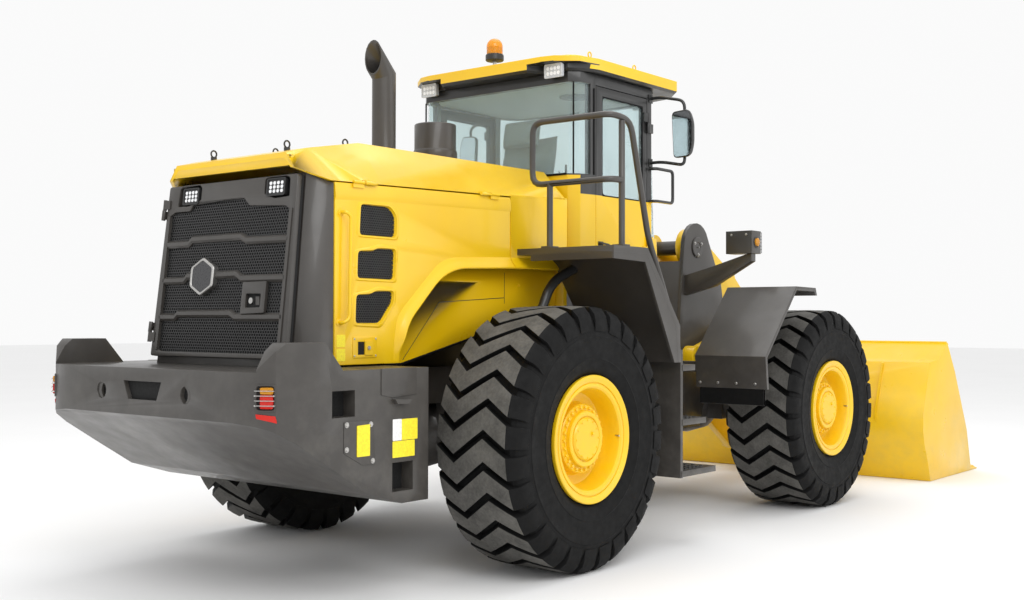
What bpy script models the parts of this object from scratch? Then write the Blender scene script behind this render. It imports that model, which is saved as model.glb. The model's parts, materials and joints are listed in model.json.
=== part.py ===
"""Articulated wheel loader with a Z-bar bucket linkage.

Metres, +X forward, +Y to the driver's left, +Z up, wheels and bucket on the ground at z = 0.
Places along the rear half are given from the rear axle, along the front half from the front axle,
and around the waist from the steering hinge. `side` is +1 for the left copy of a piece, -1 for the right.
"""
import math

import bmesh
import bpy
from mathutils import Matrix, Vector

# ---------------------------------------------------------------- driving dimensions
WHEELBASE = 3.356
HALF_TRACK = 1.16
TYRE_RADIUS = 0.79
TYRE_WIDTH = 0.60
REAR_OVERHANG = 2.105       # rear axle to the counterweight's rear face
FRONT_REACH = 3.29          # front axle to the bucket's lip

LENGTH = REAR_OVERHANG + WHEELBASE + FRONT_REACH
REAR_AXLE_X = REAR_OVERHANG - LENGTH / 2
FRONT_AXLE_X = REAR_AXLE_X + WHEELBASE
HINGE_X = (REAR_AXLE_X + FRONT_AXLE_X) / 2
AXLE_Z = TYRE_RADIUS

# Fits
SEAT_GAP = 0.0003           # between pieces that rest on or against each other
SLIDE_GAP = 0.0006          # between flat faces that turn past each other at a pin
PIN_GAP = 0.0008            # radial, between a pin and its bore
PANEL_GAP = 0.006           # around doors and covers
GLASS_THICKNESS = 0.010

# Wheels
WHEEL_SEGMENTS = 32
RIM_SEAT_RADIUS = 0.3175
RIM_FLANGE_RADIUS = 0.381
RIM_FLANGE_THICKNESS = 0.03
RIM_FLANGE_OFFSET = 0.284   # wheel centre to the flange's outer face
RIM_WALL = 0.022
DISC_DEPTH = 0.15           # flange face to the dished disc
DISC_THICKNESS = 0.03
HUB_RADIUS = 0.165
HUB_LENGTH = 0.085
SHOULDER_DROP = 0.06
TREAD_EDGE = 0.075

# Axles
AXLE_TUBE_RADIUS = 0.12
BRAKE_RADIUS = 0.21
SPINDLE_RADIUS = 0.12
SPINDLE_LENGTH = 0.05
BRAKE_LENGTH = 0.17
DIFFERENTIAL_RADIUS = 0.27
DIFFERENTIAL_HALF = 0.25
AXLE_PAD_HALF_LENGTH = 0.14
AXLE_PAD_RISE = 0.18        # axle centre to the frame's seat
SHAFT_RADIUS = 0.045

# Rear frame
REAR_RAIL_OUTER = 0.40
RAIL_THICKNESS = 0.04
RAIL_TOP_Z = 1.20
RAIL_BOTTOM_Z = 0.62
REAR_RAIL_END = -0.62       # from the hinge
LOWER_EAR = (0.56, 0.62)
UPPER_EAR = (1.14, 1.22)
EAR_RADIUS = 0.14
HINGE_PIN_RADIUS = 0.05
PIN_SEGMENTS = 24

# Counterweight
COUNTERWEIGHT_FRONT = -0.995
COUNTERWEIGHT_HALF = 1.04
COUNTERWEIGHT_TOP_Z = 1.236
COUNTERWEIGHT_BOTTOM_Z = 0.515

# Hood and radiator tower
HOOD_HALF = 0.70
HOOD_TOP_HALF = 0.50
HOOD_THICKNESS = 0.03
HOOD_FRONT = 0.74
HOOD_TOP_Z = 2.513
CREASE_REAR = (-1.40, 2.249)
CREASE_FRONT = (0.74, 2.300)
DOOR_REAR = -1.376
DOOR_FRONT = 0.13
DOOR_BOTTOM_Z = 1.245
ARCH = ((-0.875, 1.245), (-0.838, 1.474), (-0.564, 1.743), (-0.408, 1.810), (0.13, 1.826))
# The recessed panel under the arch, fixed to the bulkhead
LOWER_PANEL = ((-0.93, 1.245), (-0.794, 1.243), (-0.155, 1.391), (0.735, 1.597), (0.735, 1.90), (-0.56, 1.90),
               (-0.93, 1.56))
LOWER_PANEL_OUTER = 0.632
LOWER_PANEL_INNER = 0.602
GRILLE_BOTTOM = (-1.644, 0.607, 1.280)
GRILLE_TOP = (-1.530, 0.578, 2.300)
GRILLE_DOOR_TOP_Z = 2.285
HOOD_LIP_Z = 2.306           # underside of the hood over the grille
GRILLE_THICKNESS = 0.05
TOWER_FRONT = -1.27
TOWER_CORE_HALF = 0.655

# Cab
CAB_REAR = 0.80
CAB_HALF = 0.75
CAB_BOTTOM_Z = 1.80
CAB_TOP_Z = 3.20
CAB_WALL = 0.05
CAB_FLOOR = 0.06
GLASS_INSET = 0.018
REAR_GLASS_END = 0.955
CAB_DOOR_REAR = 1.011
CAB_DOOR_FRONT = 1.655
CAB_DOOR_BOTTOM_Z = 1.86
CAB_DOOR_TOP_Z = 3.12
WINDSCREEN_REAR = 1.72
SILL_Z = 2.36
GLASS_TOP_Z = 3.13
ROOF_TOP_Z = 3.364

# Rear fender, ladder and handrail
FENDER_OUTER = 1.45
DECK_Z = 1.95
FENDER_THICKNESS = 0.04
TUBE_RADIUS = 0.02
RAIL_INNER = 0.786          # the handrail loop's end beside the cab
RAIL_LOW_Z = 2.36
RAIL_TOP_Z_CENTRE = 2.76
TANK_INNER = 0.66
TANK_OUTER = 1.12
LADDER_OUTER = 1.42
STEP_THICKNESS = 0.04

# Front frame
FRONT_RAIL_OUTER = 0.45
FRONT_RAIL_THICKNESS = 0.035
FRONT_RAIL_START = -1.13    # from the front axle
HINGE_BOX_HALF = 0.20
A_PIN = (-0.466, 2.10)      # boom pivot
PIVOT_PIN_RADIUS = 0.06

# Boom and linkage, from the front axle
B_PIN = (1.614, 0.34)       # bucket pivot
BELLCRANK_PIN = (0.922, 0.992)
LINK_PIN = (1.198, 0.450)
BUCKET_LINK_PIN = (1.644, 0.679)
TILT_PIN = (0.769, 1.859)
ARM_INNER = 0.335
ARM_OUTER = 0.405
TILT_HALF = 0.05            # half thickness of the tilt cylinder's eyes
LINK_HALF = 0.035
BELLCRANK_INNER = TILT_HALF + SLIDE_GAP
BELLCRANK_OUTER = BELLCRANK_INNER + 0.04
EAR_THICKNESS = 0.04

# Cylinders
LIFT_BASE = (-0.756, 1.200)
LIFT_EYE = (0.409, 1.519)
LIFT_Y = 0.58
LIFT_RADIUS = 0.075
LIFT_ROD_RADIUS = 0.04
TILT_RADIUS = 0.085
TILT_ROD_RADIUS = 0.045
STEER_BASE = (-0.66, 0.50)  # from the hinge
STEER_EYE = (0.42, 0.36)
STEER_Z = 0.80
STEER_RADIUS = 0.048
STEER_ROD_RADIUS = 0.025
BORE_GAP = 0.004
BORE_WALL = 0.04            # base eye to the bottom of the bore
STROKE_SPARE = 0.02         # left under the rod when it is fully in
PISTON_LENGTH = 0.06

# Bucket
BUCKET_HALF = 1.50
BUCKET_WALL = 0.03
BUCKET_CLEARANCE = 0.003    # cutting edge above the ground
BUCKET_BACK = [(1.993, 0.0), (1.914, 0.20), (1.836, 0.36), (1.807, 0.48), (1.809, 0.62), (1.869, 0.79), (1.989, 1.10),
               (2.214, 1.125), (2.449, 1.284)]


# ---------------------------------------------------------------- places
def rear(x):
    """World x of a place given from the rear axle."""
    return REAR_AXLE_X + x


def front(x):
    """World x of a place given from the front axle."""
    return FRONT_AXLE_X + x


def waist(x):
    """World x of a place given from the steering hinge."""
    return HINGE_X + x


def front_point(pin, y=0.0):
    """A pin of the front half, given as (x, z) from the front axle, as a world point."""
    return Vector((front(pin[0]), y, pin[1]))


# ---------------------------------------------------------------- shape helpers
def solid(vertices, faces):
    """A closed mesh object with its faces turned outwards."""
    mesh = bpy.data.meshes.new("shape")
    mesh.from_pydata([tuple(v) for v in vertices], [], faces)
    work = bmesh.new()
    work.from_mesh(mesh)
    bmesh.ops.recalc_face_normals(work, faces=work.faces)
    work.to_mesh(mesh)
    work.free()
    shape = bpy.data.objects.new("shape", mesh)
    bpy.context.scene.collection.objects.link(shape)
    return shape


def loft(rings, closed=False):
    """Join rings of equally many points; the ends are capped, or joined when closed."""
    count = len(rings[0])
    vertices = [point for ring in rings for point in ring]
    faces = []
    last = len(rings) if closed else len(rings) - 1
    for i in range(last):
        a, b = i * count, (i + 1) % len(rings) * count
        faces += [(a + k, a + (k + 1) % count, b + (k + 1) % count, b + k) for k in range(count)]
    if not closed:
        faces += [tuple(range(count)), tuple(range(len(vertices) - count, len(vertices)))]
    return solid(vertices, faces)


def block(low, high):
    """A box between two corners, in any order."""
    (x0, y0, z0), (x1, y1, z1) = low, high
    ring = [(x0, y0), (x1, y0), (x1, y1), (x0, y1)]
    return loft([[(x, y, z) for x, y in ring] for z in (z0, z1)])


def side_prism(outline, y0, y1):
    """An outline in (x, z) extruded across the machine."""
    return loft([[(x, y, z) for x, z in outline] for y in (y0, y1)])


def plan_prism(outline, z0, z1):
    """An outline in (x, y) extruded upwards."""
    return loft([[(x, y, z) for x, y in outline] for z in (z0, z1)])


def across(axis):
    """Two unit vectors square to an axis and to each other."""
    axis = Vector(axis).normalized()
    first = axis.cross(Vector((0, 0, 1)) if abs(axis.z) < 0.9 else Vector((1, 0, 0))).normalized()
    return axis, first, axis.cross(first)


def lathe(profile, centre, axis, segments, closed=False):
    """Turn (radius, height) points about an axis through a centre."""
    axis, u, v = across(axis)
    centre = Vector(centre)
    angles = [2 * math.pi * k / segments for k in range(segments)]
    rings = [[centre + axis * h + (u * math.cos(a) + v * math.sin(a)) * r for a in angles]
             for r, h in profile]
    return loft(rings, closed)


def rod(start, end, radius, segments=20):
    """A round bar between two points."""
    start, end = Vector(start), Vector(end)
    length = (end - start).length
    return lathe([(radius, 0), (radius, length)], start, end - start, segments)


def cross_pin(point, y0, y1, radius, segments=PIN_SEGMENTS):
    """A round bar across the machine at an (x, z) place in world coordinates."""
    x, z = point
    return rod((x, y0, z), (x, y1, z), radius, segments)


def bent(points, radius, steps=4):
    """Round the corners of a path of points."""
    points = [Vector(p) for p in points]
    path = [points[0]]
    for before, corner, after in zip(points, points[1:], points[2:]):
        a, b = (before - corner).normalized(), (after - corner).normalized()
        reach = min(radius, (before - corner).length / 2, (after - corner).length / 2)
        start, end = corner + a * reach, corner + b * reach
        for k in range(steps + 1):
            t = k / steps
            path.append(start * (1 - t) ** 2 + corner * 2 * t * (1 - t) + end * t ** 2)
    return path + [points[-1]]


def sweep(path, radius, segments=10):
    """A round tube along a path, mitred at its corners."""
    path = [Vector(p) for p in path]
    runs = [(b - a).normalized() for a, b in zip(path, path[1:])]
    _, u, v = across(runs[0])
    angles = [2 * math.pi * k / segments for k in range(segments)]
    ring = [path[0] + (u * math.cos(a) + v * math.sin(a)) * radius for a in angles]
    rings = [ring]
    for i in range(1, len(path)):
        run = runs[i - 1]
        following = runs[i] if i < len(runs) else run
        normal = (run + following).normalized()
        ring = [p + run * ((path[i] - p).dot(normal) / run.dot(normal)) for p in ring]
        rings.append(ring)
    return loft(rings)


def arc(centre, radius, start, end, steps):
    """Points of an arc in a plane, between two angles in degrees."""
    angles = [math.radians(start + (end - start) * k / steps) for k in range(steps + 1)]
    return [(centre[0] + radius * math.cos(a), centre[1] + radius * math.sin(a)) for a in angles]


def combine(base, operation, tools):
    """Apply a Boolean with each tool in turn and remove the tools."""
    for tool in tools:
        modifier = base.modifiers.new(operation, "BOOLEAN")
        modifier.operation = operation
        modifier.solver = "EXACT"
        modifier.object = tool
        graph = bpy.context.evaluated_depsgraph_get()
        mesh = bpy.data.meshes.new_from_object(base.evaluated_get(graph))
        base.modifiers.clear()
        base.data = mesh
        bpy.data.objects.remove(tool)
    return base


def fuse(base, *tools):
    return combine(base, "UNION", tools)


def carve(base, *tools):
    return combine(base, "DIFFERENCE", tools)


def common(base, *tools):
    return combine(base, "INTERSECT", tools)


def inset(outline, distance):
    """Move the edges of a convex counter-clockwise outline inwards."""
    points = [Vector(p) for p in outline]
    lines = []
    for a, b in zip(points, points[1:] + points[:1]):
        run = (b - a).normalized()
        lines.append((a + Vector((-run.y, run.x)) * distance, run))
    result = []
    for (p, r), (q, s) in zip(lines[-1:] + lines[:-1], lines):
        t = (q - p).cross(s) / r.cross(s)
        result.append(tuple(p + r * t))
    return result


def both_sides(half):
    """A counter-clockwise plan from its right half, given from rear to front."""
    return [(x, -y) for x, y in half] + [(x, y) for x, y in reversed(half)]


# ---------------------------------------------------------------- materials and nodes
MATERIALS = {
    "machine_yellow": ((0.88, 0.55, 0.02), 0.35, 0.0),
    "frame_grey": ((0.070, 0.066, 0.060), 0.5, 0.0),
    "engine_grey": ((0.12, 0.12, 0.12), 0.6, 0.3),
    "tyre_rubber": ((0.025, 0.024, 0.022), 0.9, 0.0),
    "tinted_glass": ((0.25, 0.36, 0.36), 0.05, 0.0),
    "chrome_rod": ((0.75, 0.75, 0.75), 0.15, 1.0),
    "seat_fabric": ((0.03, 0.03, 0.035), 0.9, 0.0),
    "amber_plastic": ((0.95, 0.35, 0.02), 0.25, 0.0),
}


def material(name):
    found = bpy.data.materials.get(name)
    if found:
        return found
    colour, roughness, metallic = MATERIALS[name]
    made = bpy.data.materials.new(name)
    made.use_nodes = True
    shader = made.node_tree.nodes["Principled BSDF"]
    shader.inputs["Base Color"].default_value = (*colour, 1)
    shader.inputs["Roughness"].default_value = roughness
    shader.inputs["Metallic"].default_value = metallic
    made.diffuse_color = (*colour, 1)
    return made


def node(name, shape, material_name, pivot=(0, 0, 0)):
    """Name a finished piece, put its origin on its pivot and give it its material."""
    pivot = Vector(pivot)
    shape.data.transform(Matrix.Translation(-pivot))
    shape.location = pivot
    shape.name = name
    shape.data.name = name
    shape.data.materials.clear()
    shape.data.materials.append(material(material_name))
    shape.data.shade_smooth()
    shape.data.set_sharp_from_angle(angle=math.radians(32))
    return shape


def side_name(name, side):
    return f"{name}_{'left' if side > 0 else 'right'}"


def end_name(name, end, side):
    return side_name(f"{name}_{end}", side)


# ---------------------------------------------------------------- wheels and axles
def make_tyre(x, side, name):
    bead = RIM_FLANGE_OFFSET - RIM_FLANGE_THICKNESS - SEAT_GAP
    half = [
        (RIM_SEAT_RADIUS + SEAT_GAP, bead),
        (RIM_FLANGE_RADIUS + 0.004, bead),
        (RIM_FLANGE_RADIUS + 0.035, bead + 0.03),
        ((RIM_FLANGE_RADIUS + TYRE_RADIUS) / 2, TYRE_WIDTH / 2),
        (TYRE_RADIUS - SHOULDER_DROP, TYRE_WIDTH / 2 - 0.012),
        (TYRE_RADIUS, TYRE_WIDTH / 2 - TREAD_EDGE),
    ]
    profile = half + [(r, -y) for r, y in reversed(half)]
    centre = (x, side * HALF_TRACK, AXLE_Z)
    node(name, lathe(profile, centre, (0, 1, 0), WHEEL_SEGMENTS, closed=True), "tyre_rubber", centre)


def make_rim(x, side, name):
    face = RIM_FLANGE_OFFSET
    inner = face - RIM_FLANGE_THICKNESS
    disc = face - DISC_DEPTH
    wall = RIM_SEAT_RADIUS - RIM_WALL
    profile = [
        (HUB_RADIUS - 0.03, disc + HUB_LENGTH),
        (HUB_RADIUS, disc + HUB_LENGTH - 0.02),
        (HUB_RADIUS, disc),
        (wall, disc),
        (wall, face),
        (RIM_FLANGE_RADIUS, face),
        (RIM_FLANGE_RADIUS, inner),
        (RIM_SEAT_RADIUS, inner),
        (RIM_SEAT_RADIUS, -inner),
        (RIM_FLANGE_RADIUS, -inner),
        (RIM_FLANGE_RADIUS, -face),
        (wall, -face),
        (wall, disc - DISC_THICKNESS),
        (SPINDLE_RADIUS, disc - DISC_THICKNESS),
    ]
    centre = (x, side * HALF_TRACK, AXLE_Z)
    node(name, lathe(profile, centre, (0, side, 0), WHEEL_SEGMENTS), "machine_yellow", centre)


def make_axle(x, shaft_end, name):
    """A rigid drive axle with seats for the frame and its drive shaft."""
    end = HALF_TRACK + RIM_FLANGE_OFFSET - DISC_DEPTH - DISC_THICKNESS - SLIDE_GAP
    half = [
        (SPINDLE_RADIUS, end),
        (SPINDLE_RADIUS, end - SPINDLE_LENGTH),
        (BRAKE_RADIUS, end - SPINDLE_LENGTH),
        (BRAKE_RADIUS, end - SPINDLE_LENGTH - BRAKE_LENGTH),
        (AXLE_TUBE_RADIUS, end - SPINDLE_LENGTH - BRAKE_LENGTH - 0.12),
        (AXLE_TUBE_RADIUS, DIFFERENTIAL_HALF + 0.10),
        (DIFFERENTIAL_RADIUS - 0.05, DIFFERENTIAL_HALF),
        (DIFFERENTIAL_RADIUS, 0.08),
    ]
    profile = half + [(r, -h) for r, h in reversed(half)]
    axle = lathe(profile, (x, 0, AXLE_Z), (0, 1, 0), 24)
    pads = []
    rail = REAR_RAIL_OUTER if x < HINGE_X else FRONT_RAIL_OUTER
    for side in (1, -1):
        pads.append(block((x - AXLE_PAD_HALF_LENGTH, side * (rail - 0.09), AXLE_Z - 0.13),
                          (x + AXLE_PAD_HALF_LENGTH, side * (rail + 0.05), AXLE_Z + AXLE_PAD_RISE - SEAT_GAP)))
    direction = 1 if shaft_end > x else -1
    nose = rod((x, 0, AXLE_Z), (x + direction * (DIFFERENTIAL_RADIUS + 0.16), 0, AXLE_Z), 0.13, 20)
    shaft = rod((x, 0, AXLE_Z), (shaft_end, 0, AXLE_Z), SHAFT_RADIUS, 16)
    node(name, fuse(axle, *pads, nose, shaft), "frame_grey")


def make_wheels():
    for end, x in (("rear", REAR_AXLE_X), ("front", FRONT_AXLE_X)):
        for side in (1, -1):
            make_tyre(x, side, end_name("tyre", end, side))
            make_rim(x, side, end_name("rim", end, side))
    make_axle(REAR_AXLE_X, rear(0.56) - SEAT_GAP, "rear_axle")
    make_axle(FRONT_AXLE_X, waist(0.10), "front_axle")


# ---------------------------------------------------------------- rear frame
def rail_notch(x):
    """The frame's lower edge where it steps over an axle."""
    top = AXLE_Z + AXLE_PAD_RISE
    return [(x - 0.42, RAIL_BOTTOM_Z), (x - 0.30, top), (x + 0.30, top), (x + 0.42, RAIL_BOTTOM_Z)]


def hinge_ear(z_range, root_x, root_half, radius):
    """A flat plate from a root that narrows to a round end at the steering hinge."""
    turn = -180 if root_x < HINGE_X else 180
    tip = arc((HINGE_X, 0), radius, 90, 90 + turn, 12)
    return plan_prism([(root_x, root_half)] + tip + [(root_x, -root_half)], *z_range)


def make_rear_frame():
    inner = REAR_RAIL_OUTER - RAIL_THICKNESS
    start = rear(COUNTERWEIGHT_FRONT) + SEAT_GAP
    end = waist(REAR_RAIL_END)
    outline = [(start, RAIL_BOTTOM_Z), *rail_notch(REAR_AXLE_X), (end, RAIL_BOTTOM_Z), (end, RAIL_TOP_Z),
               (start, RAIL_TOP_Z)]
    support = [(rear(0.76), RAIL_TOP_Z - 0.05), (end, RAIL_TOP_Z - 0.05), (waist(-0.05), 1.60),
               (waist(0.05), 1.68), (waist(0.05), CAB_BOTTOM_Z - SEAT_GAP), (rear(0.82), CAB_BOTTOM_Z - SEAT_GAP)]
    rails = [side_prism(outline, side * inner, side * REAR_RAIL_OUTER) for side in (1, -1)]
    supports = [side_prism(support, side * inner, side * REAR_RAIL_OUTER) for side in (1, -1)]
    reach = inner + 0.005
    bulkhead = block((end - 0.04, -reach, LOWER_EAR[0]), (end, reach, UPPER_EAR[1]))
    shaft_hole = rod((end - 0.1, 0, AXLE_Z), (end + 0.1, 0, AXLE_Z), 0.12, 24)
    ears = [hinge_ear(z, end - 0.02, REAR_RAIL_OUTER, EAR_RADIUS) for z in (LOWER_EAR, UPPER_EAR)]
    engine_bars = [block((rear(x), -reach, 1.02), (rear(x + 0.1), reach, 1.10 - SEAT_GAP)) for x in (-0.90, 0.45)]
    cab_bar = block((rear(0.82), -reach, 1.70), (rear(0.90), reach, CAB_BOTTOM_Z - SEAT_GAP))
    steering_lugs = []
    for side in (1, -1):
        lug = block((waist(STEER_BASE[0] - 0.07), side * inner, STEER_Z - 0.085),
                    (waist(STEER_BASE[0] + 0.05), side * (STEER_BASE[1] + 0.05), STEER_Z - 0.05))
        pin_base = (waist(STEER_BASE[0]), side * STEER_BASE[1], STEER_Z - 0.06)
        pin_top = (waist(STEER_BASE[0]), side * STEER_BASE[1], STEER_Z + 0.05)
        steering_lugs += [lug, rod(pin_base, pin_top, 0.025, PIN_SEGMENTS)]
    frame = fuse(rails[0], rails[1], bulkhead, *ears, *engine_bars, *supports, cab_bar, *steering_lugs)
    bores = rod((HINGE_X, 0, 0.5), (HINGE_X, 0, 1.3), HINGE_PIN_RADIUS + PIN_GAP, PIN_SEGMENTS)
    node("rear_frame", carve(frame, shaft_hole, bores), "frame_grey")


def make_powertrain():
    """The engine and transmission as one plain heavy block, resting on the frame's cross bars."""
    engine = block((rear(-0.95), -0.32, 1.10), (rear(0.20), 0.32, 1.90))
    transmission = block((rear(0.10), -0.30, 1.10), (rear(0.68), 0.30, 1.62))
    output = block((rear(0.56), -0.25, 0.66), (rear(0.68), 0.25, 1.15))
    node("engine_and_transmission", fuse(engine, transmission, output), "engine_grey")


def make_counterweight():
    profile = [(-0.995, 0.515), (-1.20, 0.515), (-1.476, 0.60), (-2.04, 0.955), (-REAR_OVERHANG, 0.985),
               (-REAR_OVERHANG, COUNTERWEIGHT_TOP_Z), (-0.995, COUNTERWEIGHT_TOP_Z)]
    half = [(-REAR_OVERHANG, 0.74), (-2.075, 0.90), (-2.02, 0.985), (-1.93, 1.03), (-1.70, COUNTERWEIGHT_HALF),
            (COUNTERWEIGHT_FRONT, COUNTERWEIGHT_HALF)]
    plan = [(rear(x), y) for x, y in both_sides(half)]
    body = common(side_prism([(rear(x), z) for x, z in profile], -1.1, 1.1), plan_prism(plan, 0.3, 1.5))
    ear_profile = [(-2.10, 1.20), (-2.02, 1.34), (-1.97, 1.38), (-1.75, 1.38), (-1.63, 1.24), (-1.62, 1.20)]
    ears = []
    for side in (1, -1):
        ear_block = side_prism([(rear(x), z) for x, z in ear_profile], side * 0.90, side * 1.1)
        ears.append(common(ear_block, plan_prism(plan, 0.3, 1.5)))
    body = fuse(body, *ears)
    pockets = []
    for side in (1, -1):
        for x0, x1, z0, z1 in ((-1.702, -1.546, 0.998, 1.133), (-1.273, -1.116, 0.582, 0.736)):
            pockets.append(block((rear(x0), side * 0.95, z0), (rear(x1), side * 1.2, z1)))
    face = rear(-REAR_OVERHANG)
    hitch = [(-0.170, 1.165), (-0.128, 1.068), (0.128, 1.068), (0.170, 1.165)]
    pockets.append(loft([[(x, y, z) for y, z in hitch] for x in (face - 0.1, face + 0.07)]))
    for y in (-0.38, 0.38):
        pockets.append(rod((face - 0.1, y, 1.106), (face + 0.07, y, 1.106), 0.045, 16))
    node("counterweight", carve(body, *pockets), "frame_grey")


# ---------------------------------------------------------------- hood, tower and their doors
def line_z(x, start, end):
    """Height on the straight line through two (x, z) places."""
    return start[1] + (end[1] - start[1]) * (x - start[0]) / (end[0] - start[0])


def crease_z(x):
    return line_z(x, CREASE_REAR, CREASE_FRONT)


def hood_ring(x, half, crease, top_half, top):
    t = HOOD_THICKNESS
    right = [(-half, crease), (-top_half, top)]
    left = [(top_half, top), (half, crease)]
    inner = [(half - t, crease), (top_half - t / 2, top - t), (-top_half + t / 2, top - t), (-half + t, crease)]
    return [(rear(x), y, z) for y, z in right + left + inner]


def knuckle(start, end, radius=0.012):
    return rod(start, end, radius, 12)


def hinge_points(start, end, shares):
    """Pairs of points that cut a hinge line into knuckles, with a slide gap between neighbours."""
    start, end = Vector(start), Vector(end)
    run = end - start
    gap = run.normalized() * SLIDE_GAP / 2
    return [(start + run * a + gap, start + run * b - gap) for a, b in shares]


DOOR_SHARES = ((0.08, 0.14), (0.86, 0.92))
FIXED_SHARES = ((0.14, 0.20), (0.80, 0.86))


def crease_axis(side):
    """The side door's hinge line: just outside the crease."""
    y = side * (HOOD_HALF + 0.012)
    return (Vector((rear(DOOR_REAR), y, crease_z(DOOR_REAR))), Vector((rear(DOOR_FRONT), y, crease_z(DOOR_FRONT))))


def make_hood():
    rings = [
        hood_ring(-1.545, 0.560, HOOD_LIP_Z + 0.012, 0.491, 2.405),
        hood_ring(-1.40, HOOD_HALF, CREASE_REAR[1], 0.497, 2.443),
        hood_ring(-1.015, HOOD_HALF, crease_z(-1.015), HOOD_TOP_HALF, HOOD_TOP_Z),
        hood_ring(HOOD_FRONT, HOOD_HALF, CREASE_FRONT[1], HOOD_TOP_HALF, HOOD_TOP_Z),
    ]
    shell = loft(rings)
    rear_cap = plan_prism([(rear(x), y) for x, y in both_sides([(-1.5449, 0.52), (-1.515, 0.52)])], 2.33, 2.39)
    pieces = [rear_cap]
    front_panel = [(rear(DOOR_FRONT) + PANEL_GAP, 1.826), (rear(HOOD_FRONT), 1.826),
                   (rear(HOOD_FRONT), CREASE_FRONT[1] + 0.01), (rear(DOOR_FRONT) + PANEL_GAP, 2.30)]
    for side in (1, -1):
        pieces.append(side_prism(front_panel, side * (HOOD_HALF - HOOD_THICKNESS), side * HOOD_HALF))
        start, end = crease_axis(side)
        for low, high in hinge_points(start, end, FIXED_SHARES):
            leaf = block((low.x, side * (HOOD_HALF - 0.02), low.z + 0.004),
                         (high.x, side * (HOOD_HALF + 0.012), low.z + 0.016))
            pieces += [knuckle(low, high), leaf]
    bulkhead = block((rear(HOOD_FRONT - 0.04), -HOOD_HALF + 0.001, RAIL_TOP_Z + SEAT_GAP),
                     (rear(HOOD_FRONT) - 0.0001, HOOD_HALF - 0.001, 2.32))
    lower_panel = [(rear(x), z) for x, z in LOWER_PANEL]
    pieces += [side_prism(lower_panel, side * LOWER_PANEL_INNER, side * LOWER_PANEL_OUTER) for side in (1, -1)]
    crown = [(-0.60, 2.30), (0.60, 2.30), (HOOD_TOP_HALF - 0.005, 2.505), (-HOOD_TOP_HALF + 0.005, 2.505)]
    upper = loft([[(x, y, z) for y, z in crown] for x in (rear(HOOD_FRONT - 0.04), rear(HOOD_FRONT) - 0.0001)])
    node("hood", fuse(shell, *pieces, bulkhead, upper), "machine_yellow")


def make_side_door(side):
    gap = PANEL_GAP
    outline = [(DOOR_REAR, DOOR_BOTTOM_Z), *ARCH,
               (DOOR_FRONT, crease_z(DOOR_FRONT) - gap), (DOOR_REAR, crease_z(DOOR_REAR) - gap)]
    outline = [(rear(x), z) for x, z in outline]
    door = side_prism(outline, side * (HOOD_HALF - HOOD_THICKNESS), side * HOOD_HALF)
    start, end = crease_axis(side)
    pieces = []
    for low, high in hinge_points(start, end, DOOR_SHARES):
        leaf = block((low.x, side * (HOOD_HALF - 0.01), low.z - 0.030),
                     (high.x, side * (HOOD_HALF + 0.012), low.z - 0.004))
        pieces += [knuckle(low, high), leaf]
    node(side_name("hood_side_door", side), fuse(door, *pieces), "machine_yellow", start)


def grille_x(z):
    return line_z(z, (GRILLE_BOTTOM[2], GRILLE_BOTTOM[0]), (GRILLE_TOP[2], GRILLE_TOP[0]))


def grille_half(z):
    return line_z(z, (GRILLE_BOTTOM[2], GRILLE_BOTTOM[1]), (GRILLE_TOP[2], GRILLE_TOP[1]))


def grille_axis():
    """The rear door's hinge line: just outside the grille's left edge, leaning with it."""
    points = []
    for z in (GRILLE_BOTTOM[2], GRILLE_DOOR_TOP_Z):
        points.append(Vector((rear(grille_x(z)) - 0.008, grille_half(z) + 0.014, z)))
    return points


def make_tower():
    """The radiator and its frame behind the rear grille, one heavy closed piece."""
    rings = []
    for z, side_z in ((COUNTERWEIGHT_TOP_Z + SEAT_GAP, None), (2.295, 2.236)):
        x = grille_x(z) + GRILLE_THICKNESS + PANEL_GAP
        half = [(x, grille_half(z), z), (DOOR_REAR - PANEL_GAP, HOOD_HALF - 0.006, side_z or z),
                (DOOR_REAR - PANEL_GAP, TOWER_CORE_HALF, side_z or z), (TOWER_FRONT, TOWER_CORE_HALF, side_z or z)]
        ring = [(rear(a), -b, c) for a, b, c in half] + [(rear(a), b, c) for a, b, c in reversed(half)]
        rings.append(ring)
    tower = loft(rings)
    start, end = grille_axis()
    pieces = []
    for low, high in hinge_points(start, end, FIXED_SHARES):
        corner = Vector((low.x + GRILLE_THICKNESS + 0.035, low.y - 0.02, low.z))
        across_leaf = [(low.x, low.y - 0.004), (low.x, low.y + 0.008), (corner.x, low.y + 0.014),
                       (corner.x, corner.y)]
        rise = high - low
        leaf = loft([[(a, b, low.z + 0.006) for a, b in across_leaf],
                     [(a + rise.x, b + rise.y, high.z - 0.006) for a, b in across_leaf]])
        pieces += [knuckle(low, high), leaf]
    node("radiator_tower", fuse(tower, *pieces), "frame_grey")


def make_grille_door():
    rings = []
    for z in (GRILLE_BOTTOM[2], GRILLE_DOOR_TOP_Z):
        x0 = rear(grille_x(z))
        half = grille_half(z) - 0.004
        rings.append([(x0, -half, z), (x0 + GRILLE_THICKNESS, -half, z), (x0 + GRILLE_THICKNESS, half, z),
                      (x0, half, z)])
    door = loft(rings)
    start, end = grille_axis()
    pieces = []
    for low, high in hinge_points(start, end, DOOR_SHARES):
        rise = high - low
        outline = [(low.x - 0.004, low.y), (low.x + 0.004, low.y), (low.x + 0.028, low.y - 0.03),
                   (low.x + 0.012, low.y - 0.04)]
        leaf = loft([[(a, b, low.z + 0.006) for a, b in outline],
                     [(a + rise.x, b + rise.y, high.z - 0.006) for a, b in outline]])
        pieces += [knuckle(low, high), leaf]
    node("rear_grille_door", fuse(door, *pieces), "frame_grey", start)


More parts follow.
